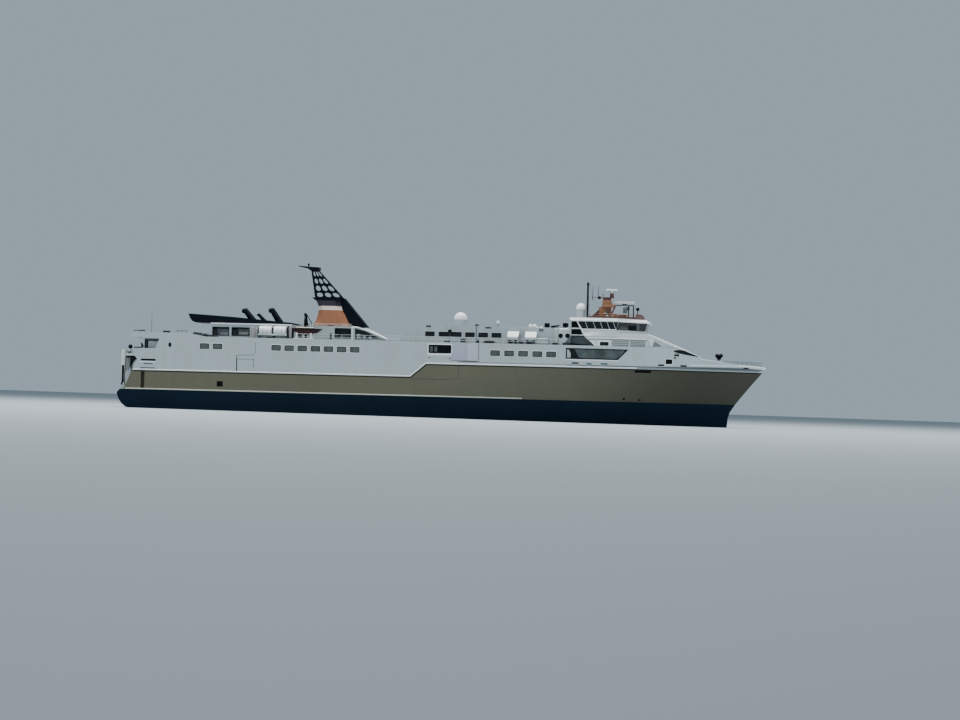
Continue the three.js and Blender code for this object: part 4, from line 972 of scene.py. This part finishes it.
# Deck seats. Two blocks of benches face forward between the funnel and the forward house, bolted down,
# each with a board, a back and two feet, in enamel that sun has bleached to a blue grey.
slat_enamel = enamel("blue_grey_slat_enamel", "#4d6270", rough=0.5, tone=0.1, streak=0.3)
seats = []
for x in (-848, -776, -704):
    for y0, y1 in ((-330, -190), (-180, -40), (40, 180), (190, 330)):
        seats += [(x - 12, x + 12, y0, y1, 1092, 1096), (x - 13, x - 9, y0, y1, 1097, 1112),
                  (x - 6, x + 6, y0 + 8, y0 + 12, 1075, 1093), (x - 6, x + 6, y1 - 12, y1 - 8, 1075, 1093)]
boxes("deck_seats", seats, slat_enamel, width=0.001, mirror=False)


# Walls that face aft. Five panes are set in the forward house's slanted wall, and the screen and the after
# house have upright ones and weathertight doors, of plate with rubber seals.

# The slope's edge in (x, z), from the panes' lower edge to their upper one.
slope = np.array([[-586 + (z - 1120) * 182 / 236, z] for z in (1208, 1284)])
slanted = [
    [(slope[0, 0], y + 150, 1208), (slope[0, 0], y, 1208),
     (slope[1, 0], y, 1284), (slope[1, 0], y + 150, 1284)]
    for y in (-560, -380, -75, 230, 410)
]
skinned("house_end_windows", plates(slanted, proud=1.5, back=3, sides=(-1,)), dark_glass)
boxes("after_windows", [
    (-4368, -4363, y, y + 130, 926, 1008) for y in (-740, -440, -270, 140, 310, 610)
] + [
    (-3415, -3410, y, y + 110, 1176, 1246) for y in (-560, -400, 290, 450)
], dark_glass, mirror=False)
boxes("after_doors", [
    (-4369, -4363, y, y + 84, 838, 1028) for y in (-570, -42, 486)
] + [
    (-3417, -3410, y, y + 84, 1080, 1266) for y in (-250, 166)
], trim_white, width=0.002, mirror=False)
# The seals are worked out as on a side wall at 4.365 m, and then x and y change places.
doors = np.array([(y, y + 84, 838, 1028) for y in (-570, -42, 486)]) / 1000
skinned("after_door_seals", frames(doors, [
    (0, -0.001), (0, 0.0045), (0.004, 0.0045), (0.004, -0.001)
], wall=flat_wall(4.365), sides=(-1,), power=40)[..., [1, 0, 2]], rubber, looped=True)


# Lower bridge. White plating with a ledge below the windows, one small window in a wide rim, and two grey
# louvred panels, whose three slats each stand a little proud.
def base_wall(x, z):
    """Half breadth of the lower bridge wall: the shell's, less the 27 mm that the wall stands in."""
    return shell_side(x, z) - 0.027


# Grey enamels, sprayed: a mid grey, painted as shade between the louvre blades, and a darker one on the
# bulkhead, as painted shade from the deck above.
panel_grey = enamel("louvre_grey_enamel", "#7d8587", rough=0.5, tone=0.05, streak=0.3)
shade_grey = enamel("side_deck_grey_enamel", "#656e72", rough=0.55, tone=0.08, streak=0.4)
skinned("bridge_ledge", moulding([
    (2.175, 1.214), (3.035, 1.214)
], width=0.012, proud=0.006, wall=base_wall), trim_white)
skinned(
    "bridge_ledge_joint", moulding([(2.20, 1.201), (3.035, 1.201)], width=0.006, proud=0.001,
    wall=base_wall, round_face=False), seam_and_shade_grey)
# Louvre boxes in a paler enamel, so that the blades' shade lines show against them.
louvre_enamel = enamel("louvre_box_enamel", "#aab1b3", rough=0.5, tone=0.05, streak=0.3)
louvres = [
    (x0, x1, z, z + 0.013) for x0, x1 in ((2.541, 2.772), (2.800, 3.012)) for z in (1.114, 1.140, 1.166)
]
skinned("bridge_louvre_boxes", panes([
    (2.536, 2.777, 1.108, 1.188), (2.795, 3.017, 1.108, 1.188)
], [(0, -0.003), (0, 0.0007)], wall=base_wall, power=20), louvre_enamel)
skinned(
    "bridge_louvres", panes(louvres, [(0, -0.003), (0, 0.0014)], wall=base_wall, power=20), panel_grey)
skinned("bridge_louvre_blades", panes([
    (x0, x1, z + 0.013, z + 0.026) for x0, x1, z, _ in louvres
], [(0, -0.003), (0, 0.003)], wall=base_wall, power=20), seam_pale)
skinned(
    "bridge_side_window", panes([(2.366, 2.489, 1.109, 1.163)], [(0, -0.012), (0, -0.006)], wall=base_wall,
    power=14), dark_glass)
skinned("bridge_side_frame", frames([(2.364, 2.491, 1.108, 1.164)], [
    (0, -0.003), (0, 0.004), (0.018, 0.004), (0.022, 0.001), (0.022, -0.003)
], wall=base_wall, power=10), trim_white, looped=True)


# Wheelhouse windows. A long tinted pane runs along each side behind slanted mullions, with two wing panes
# aft of the pillar, bonded into the plating, and a bright sill below.
def bridge_side(x, z):
    """Half breadth of the wheelhouse's flat side: straight between the plan's corners and beyond the last
    one."""
    return np.where(x < 2.33, 0.720 + (x - 1.925) * 15 / 405, 0.735 - (x - 2.33) * 20 / 262)


def along(low, high, steps=24):
    """Rows of four corners on the wheelhouse's side between two lines of (x, z) points in millimetres, both
    cut at the same shares of their length in x."""
    low, high = np.asarray(low, float), np.asarray(high, float)
    share = np.linspace(0, 1, steps + 1)
    edge = []
    for line in (low, high):
        run = np.concatenate([[0], np.cumsum(np.linalg.norm(np.diff(line, axis=0), axis=1))])
        x, z = (np.interp(share * run[-1], run, line[:, k]) for k in (0, 1))
        edge.append(np.stack([x, -1000 * bridge_side(x / 1000, z / 1000), z], -1))
    a, b = edge
    return np.stack([a[:-1], a[1:], b[1:], b[:-1]], 1)


side_glass = along([
    (2042, 1453), (2083, 1352), (2592, 1352), (2620, 1452)
], [(2042, 1455), (2620, 1455)], steps=40)
wing_glass = np.concatenate([
    along([(1942, 1362), (2057, 1362)], [(1942, 1454), (2021, 1454)], steps=4),
    along([(1942, 1262), (2110, 1262)], [(1942, 1342), (2077, 1342)], steps=4)
])
skinned("bridge_side_panes", plates(side_glass, proud=1.0, back=2.0), dark_glass)
skinned("bridge_wing_panes", plates(wing_glass, proud=1.0, back=2.0), deep_glass)
top_x, foot_x = [2142, 2256, 2359, 2457, 2545], [2182, 2296, 2397, 2495, 2586]
mullions = np.concatenate([
    along([(b - 4, 1350), (b + 4, 1350)], [(t - 4, 1456), (t + 4, 1456)], steps=1)
    for t, b in zip(top_x, foot_x)
])
skinned("bridge_mullions", plates(mullions, proud=3.0, back=3.0), white_enamel)
skinned("bridge_sills", moulding([
    (2.092, 1.341), (2.585, 1.341)
], width=0.015, proud=0.006, wall=bridge_side), trim_white)


# Leaning facet. The wheelhouse's fore corner is cut off by a pane that leans out, with rubber edges, and
# through it show a dark screen and a grey post.

# Tinted glass that leans to the sky: dark, with a faint green.
facet_glass = glazing("sky_tinted_glass", "#0f181b", rough=0.1, cloud=0.3)
corners = np.array([(2593, -713, 1340), (2980, -302, 1340), (3011, -302, 1453), (2626, -712, 1453)], float)
skinned("bridge_facet_panes", plates([corners], proud=1.2, back=2.0), facet_glass)


def on_facet(rows):
    """Plates on the leaning facet: each row is where the lower edge starts and ends along it, the same for
    the upper edge, and how high both are, as shares of the pane."""
    low_start, low_end, high_start, high_end, low, high = np.array(rows, float).T[..., None]
    a, b, c, d = corners
    at = [(a + (b - a) * share) * (1 - rise) + (d + (c - d) * share) * rise
          for share, rise in ((low_start, low), (low_end, low), (high_end, high), (high_start, high))]
    return np.stack(at, 1)


skinned("bridge_facet_frames", plates(on_facet([
    (0.985, 1, 0.985, 1, 0, 1), (0, 0.012, 0, 0.012, 0, 1), (0, 1, 0, 1, 0.95, 1)
]), proud=2.6, back=2.0), rubber)
skinned("bridge_facet_screens", plates(on_facet([
    (0.405, 0.668, 0.375, 0.635, 0.02, 0.66)
]), proud=2.0, back=2.0), black_enamel)
skinned("bridge_facet_posts", plates(on_facet([
    (0.735, 0.80, 0.655, 0.72, 0.02, 0.95)
]), proud=2.2, back=2.0), grey_enamel)
skinned("bridge_front_panes", plates([
    [(2984, -290, 1351), (2984, 290, 1351), (3012, 290, 1452), (3012, -290, 1452)]
], proud=1.0, back=2.0, sides=(-1,)), dark_glass)


# Shoulders and pillars. The plating below the side windows leans in from the shell to the wheelhouse, and a
# slanted tube pillar runs from the roof's edge to the side deck, welded with two knuckles.
shoulder_x = np.linspace(2130, 2600, 9)
foot = np.column_stack([shoulder_x, 27 - 1000 * shell_side(shoulder_x / 1000, 1.25) - 1, np.full(9, 1246)])
head = np.column_stack([
    shoulder_x, -1000 * bridge_side(shoulder_x / 1000, 1.3) - 1, np.linspace(1300, 1336, 9)
])
skinned("bridge_shoulders", plates(np.stack([
    foot[:-1], foot[1:], head[1:], head[:-1]
], 1), proud=1.0, back=3.0), white_enamel)
pillar = [
    (2022, -737, 1456, 2088, -740, 1345, 9, 10), (2088, -740, 1345, 2150, -752, 1240, 10, 11),
    (2150, -752, 1240, 2312, -790, 1102, 11, 11)
]
tubes("bridge_pillars", pillar, trim_white, count=12)
skinned("pillar_knuckles", turned([
    globe(x, y * side, z, r, steps=7)
    for side in (-1, 1) for x, y, z, r in ((2088, 740, 1345, 10.5), (2150, 752, 1240, 11.5))
], count=12), trim_white)
tubes("bridge_posts", [
    (1932, -724, 1456, 1932, -724, 1250, 12, 12), (1932, -724, 1250, 1890, -730, 1120, 9, 8)
], white_enamel, count=12)


# Bulkheads under the bridge wing. Grey plating closes the side deck's inner edge, in the shade of the wing,
# with corners painted darker as shade where the deck above meets it.
boxes("bridge_bulkheads", [(1905, 2330, -640, -628, 1076, 1249)], shade_grey, width=0.003)
skinned("bulkhead_shades", plates([
    [(1910, -642, 1080), (2240, -642, 1080), (2180, -642, 1120), (1910, -642, 1140)],
    [(1950, -642, 1236), (2150, -642, 1236), (2170, -642, 1248), (1950, -642, 1248)]
]), dark_grey)
skinned("wing_shades", plates([
    [(1812, -743, 1086), (1924, -743, 1086), (1924, -743, 1214), (1912, -743, 1214)]
]), shade_grey)
# Press-moulded laminate: dark grey and matt.
laminate = enamel("console_laminate", "#33383d", rough=0.6, tone=0.05, streak=0.1)
dress(laminate, "bridge_console")


# Radar mast. Welded tube and plate in coats of brown, oxide and dark grey enamel, on a deck with coamings
# and tube rails, which carries lockers and deck lamps. The searchlight stands before it.

# Red oxide enamels, brushed on welded tube: earthy and streaked, lighter on the frame and darker on deck
# plates.
oxide = enamel("red_oxide_enamel", "#8a5a45", rough=0.5, tone=0.12, streak=0.5)
dark_oxide = enamel("dark_oxide_enamel", "#4b2f2d", rough=0.55, tone=0.1, streak=0.4)
# The mast's own coats: ochre brown on its middle, dark oxide at its foot and head, dark grey on the fore
# bracket.
dress(parted("mast_enamels", "#9a6c4c", [
    ("#4f3230", [("X", -1, 2.290), ("Z", -1, 1.70)]), ("#553936", [("Z", -1, 1.532)]),
    ("#3b4144", [("X", 1, 2.530), ("Z", 1, 1.55)]), ("#5b3433", [("Z", 1, 1.800)]),
]), "radar_mast")
# The lamp's cowl is black above its brown pedestal.
dress(parted("cowl_enamels", "#654a47", [("#07090c", [("Z", 1, 1.615)])]), "searchlight")
deck_line = [
    (2165, -250), (2280, -268), (2400, -286), (2520, -304), (2600, -316), (2700, -262), (2800, -205)
]
tubes(
    "mast_deck_rails", railing(deck_line, base=1530, heights=[1560, 1590], radius=2.4), oxide,
    count=6)
skinned("mast_coamings", plates([
    [(2125, -318, 1508), (2600, -318, 1508), (2600, -318, 1552), (2125, -318, 1548)],
    [(2600, -318, 1508), (2840, -180, 1508), (2840, -180, 1548), (2600, -318, 1552)]
], proud=2, back=4), dark_oxide)
boxes("mast_fittings", [
    (2470, 2560, -180, -120, 1530, 1592), (2620, 2690, 120, 190, 1530, 1584),
    (2560, 2690, -46, 46, 1530, 1590), (2392, 2440, -50, -44, 1600, 1680),
    (2330, 2462, -56, -44, 1700, 1737)
], oxide, width=0.004, mirror=False)
boxes("mast_lockers", [
    (2390, 2430, -54, -46, 1560, 1640), (2640, 2700, -90, -60, 1610, 1690),
    (2655, 2735, -60, -20, 1655, 1700)
], grey_enamel, width=0.004, mirror=False)
skinned("mast_lights", turned([
    globe(2380, -52, 1600, 16, steps=7), globe(2420, -200, 1560, 15, steps=7),
    globe(2500, -200, 1556, 13, steps=7)
], count=14), pale_enamel)


# Scanner covers. Each radar bar is a slotted waveguide in a moulded gelcoat cover, the upper one bright
# over a grey bar that is its painted shadow and the lower one a duller grey; the covers turn with their
# scanners.

# Dulled gelcoat: matt and pale grey.
dulled_gelcoat = enamel("dulled_gelcoat", "#b3b9b9", rough=0.7, tone=0.1, streak=0.2)
tubes("scanner_covers", [
    (2398, -73, 1948, 2534, 73, 1948, 15, 15)
], radome_gelcoat, count=12, mirror=False, body="scanner_top")
tubes("scanner_unders", [
    (2412, -62, 1932, 2520, 62, 1932, 9, 9)
], grey_enamel, count=10, mirror=False, body="scanner_top")
tubes("scanner_low_cover", [
    (2512, 0, 1774, 2798, 0, 1774, 9, 9)
], dulled_gelcoat, count=12, mirror=False, body="scanner_low")


# Aerial pole. A dark steel sleeve covers the main mast, glassfibre whips stand on steel stubs on the yard,
# and halyards of black line come down from it.

# Pole enamel, baked by exhaust heat: a matt umber, nearly black.
umber = enamel("umber_pole_enamel", "#1d1413", rough=0.5, tone=0.1, streak=0.3, specular=0.2)
tubes("pole_sleeves", [
    (2110, 0, 1540, 2110, 0, 1990, 16, 14), (2110, 0, 1990, 2110, 0, 2040, 14, 17),
    (2110, 0, 2040, 2110, 0, 2062, 17, 8)
], umber, count=16, mirror=False)
tubes("whip_aerials", [
    (2182, 0, 1836, 2182, 0, 2028, 4.0, 2.2), (2264, 0, 1836, 2264, 0, 2006, 5.0, 2.6),
    (2182, 0, 1800, 2182, 0, 1838, 5, 5), (2264, 0, 1812, 2264, 0, 1838, 5, 5)
], dark_grey, mirror=False)
# Braided halyard line: matt and black, its braid far too fine to show.
halyard_line = enamel("black_halyard_line", "#23272b", rough=0.8, tone=0.1, streak=0.1, specular=0.2)
tubes("halyards", [
    (2172, 0, 1836, 2285, 0, 1650, 1.6, 1.6), (2140, 0, 2028, 2175, 0, 1840, 1.2, 1.2),
    (2110, 58, 1960, 2150, 90, 1520, 1.2, 1.2), (2110, -58, 1960, 2150, -90, 1520, 1.2, 1.2)
], halyard_line, count=5, mirror=False)
skinned("mast_lamps", turned([
    globe(2282, 0, 1834, 24), globe(2720, -70, 1690, 12), globe(2852, 0, 1675, 27)
]), black_enamel)
# This skirt's pale grey is painted shade under its dome too.
skinned("dome_fore_skirt", turned([
    ((2015, 0), [(52, 1508), (58, 1560), (66, 1615), (71, 1656)])
], count=28), shaded_gelcoat)


# Raked fairing. Its white ridge is a welded half-round bar that slopes from the bridge to the foredeck on a
# bracket, over a grey vent panel and a sloping bonded pane.
def bands(rows, wall=shell_side, proud=0.001, sides=(-1, 1), steps=14):
    """Rings of thin panels on the wall. Each row is a lower and an upper line of (x, z) points in metres
    that meet or face each other at both ends; across x the panel fills the height between them."""
    rings = []
    for low, high in rows:
        low, high = np.asarray(low, float), np.asarray(high, float)
        x = np.linspace(low[0, 0], low[-1, 0], steps)
        z = [np.interp(x, line[:, 0], line[:, 1]) + gap for line, gap in ((low, -0.0004), (high, 0.0004))]
        for side in sides:
            at = [np.stack([x, side * (wall(x, height) + out), height], -1)
                  for height, out in ((z[0], proud), (z[1], proud), (z[1], -0.003), (z[0], -0.003))]
            rings.append(np.stack(at, 1))
    return np.stack(rings)


def cheek_wall(x, z):
    """Half breadth of the fairing's cheek: the shell's at the knuckle, less the white side and the gap."""
    return shell_side(x, 0.783) - 0.0253


ridge = [(3.045, 1.274), (3.130, 1.250), (3.490, 1.104), (3.805, 0.962)]
skinned(
    "fairing_ridges", moulding(ridge, width=0.038, proud=0.008, wall=cheek_wall), trim_white)
skinned("fairing_brackets", bands([
    ([(3.046, 1.232), (3.098, 1.106), (3.104, 1.106), (3.140, 1.232)], [(3.046, 1.240), (3.140, 1.240)])
], wall=cheek_wall, proud=0.004), trim_white)
skinned("fairing_windows", bands([
    ([(3.117, 1.113), (3.254, 1.120)], [(3.117, 1.113), (3.144, 1.188), (3.254, 1.120)])
], wall=cheek_wall, proud=-0.0045), panel_grey)
skinned("fairing_glass", bands([
    ([(3.413, 1.062), (3.435, 1.044), (3.551, 1.017), (3.664, 1.000), (3.777, 0.984)],
    [(3.413, 1.064), (3.495, 1.080), (3.583, 1.068), (3.777, 0.990)])
]), dark_glass)


# Lounge windows. Long bonded panes with slanted ends, with curtains behind them that two mullions divide, a
# pale blind aft and a bright sill below.

# Float glass over pleated curtains: mid grey, with clear light and dark patches.
curtain = glazing("glass_over_curtains", "#505857", rough=0.12, cloud=0.4)
skinned("lounge_blinds", bands([
    ([(2.010, 1.044), (2.072, 0.922), (2.625, 0.922), (2.720, 1.036)], [(2.010, 1.046), (2.720, 1.046)])
], wall=shell_side, proud=-0.0115), curtain)
# Blind cloth: matt and pale grey, its weave far too fine to show.
blind_cloth = enamel("blind_cloth", "#b3b9b9", rough=0.7, tone=0.1, streak=0.2)
skinned("lounge_blind_aft", bands([
    ([(1.900, 0.925), (1.952, 0.925)], [(1.900, 1.040), (1.920, 1.040), (1.952, 0.985)])
], wall=shell_side, proud=-0.0115), blind_cloth)
skinned("lounge_mullions", bands([
    ([(x, 0.908), (x + 0.008, 0.908)], [(x, 1.060), (x + 0.008, 1.060)]) for x in (2.20, 2.44)
], wall=shell_side, proud=-0.0105), seam_dark)
skinned(
    "lounge_sills", moulding([(1.89, 0.892), (2.64, 0.892)], width=0.014, proud=0.003), trim_white)


# Bow caps and fairleads. A painted shadow line runs along the white side's foot, and a band of painted
# shade lies under the caps. Rolled caps cover the sheer forward, and cast fairleads and eyes with rubber
# lips are let into them.
skinned("plinth_lines", moulding([
    (0.34, 0.822), (1.90, 0.822), (4.66, 0.822)
], width=0.006, proud=0.001, round_face=False), seam_and_shade_grey)
skinned("bow_caps", moulding([
    (3.66, 0.854), (4.41, 0.862), (4.735, 0.842)
], width=0.030, proud=0.010), bridge_white)
skinned(
    "sheer_edges", moulding([(3.80, 0.950), (4.10, 0.917)], width=0.012, proud=0.004), trim_white)
skinned("bow_cap_tops", moulding([
    (4.37, 0.868), (4.60, 0.855), (4.74, 0.840)
], width=0.036, proud=0.013), trim_white)
skinned("bow_fairleads", panes([(4.426, 4.499, 0.832, 0.848)], [
    (0, -0.003), (0, 0.016), (0.002, 0.017)
], power=6), rubber)
skinned("bow_eyes", panes([
    (3.430, 3.508, 0.994, 1.028), (3.426, 3.450, 0.966, 0.996), (3.478, 3.496, 0.974, 0.996)
], [(0, -0.003), (0, 0.0012), (0.001, 0.0016)], power=5), rubber)
skinned("bow_shadow_gaps", bands([
    ([(1.9, 0.808), (4.70, 0.809)], [(1.9, 0.813), (3.0, 0.822), (3.9, 0.838), (4.4, 0.840), (4.70, 0.824)])
], steps=40), seam_and_shade_grey)


# Foredeck. Windlass with its twin signal lamps, and a light guard rail with netting from there to the stem.
skinned("bow_lamps", turned([
    globe(4031, 0, 1018, 31), globe(4087, 0, 1020, 31),
    ((4059, 0), np.stack([np.array([3, 12, 24, 35, 46, 55, 58, 40, 6]),
                          np.array([950, 961, 975, 988, 1001, 1013, 1022, 1028, 1029])], -1))
]), black_enamel)
# The rail: a net of 1.4 mm wires every 14 mm, a post at every fifth, a top rail and one below it.
bow_x = np.arange(4120, 4690, 14.0)
bow_y = -1000 * shell_side(bow_x / 1000, 0.86) + 16
bow_top = np.interp(bow_x, [4120, 4690], [942, 925])
bow_foot = np.interp(bow_x, [4130, 4430, 4755], [915, 872, 838])
net = np.column_stack([bow_x, bow_y, bow_foot, bow_x, bow_y, bow_top, np.full((len(bow_x), 2), 0.7)])
rail = np.column_stack([
    bow_x[:-1], bow_y[:-1], bow_top[:-1], bow_x[1:], bow_y[1:], bow_top[1:],
    np.full((len(bow_x) - 1, 2), 2.2)
])
posts = net[::5] * [1, 1, 1, 1, 1, 1, 3, 3]
middle = rail - [0, 0, 22, 0, 0, 22, 1.4, 1.4]
tubes("bow_rails", np.concatenate([net, rail, posts, middle]), grey_enamel, count=6)


# Waterjets. Cast stainless steel housings, nozzles and buckets, bolted to the stern; fettled castings look
# satin, a cool mid grey with a metal's own reflections.
steel = enamel("stainless_casting", "#8c9196", rough=0.35, tone=0.05, streak=0.1)
steel.node_tree.nodes["Principled BSDF"].inputs["Metallic"].default_value = 0.9
dress(
    steel, "jet_housings", *[f"jet_nozzle_{i}" for i in range(1, 5)],
    *[f"jet_bucket_{i}" for i in range(1, 5)])
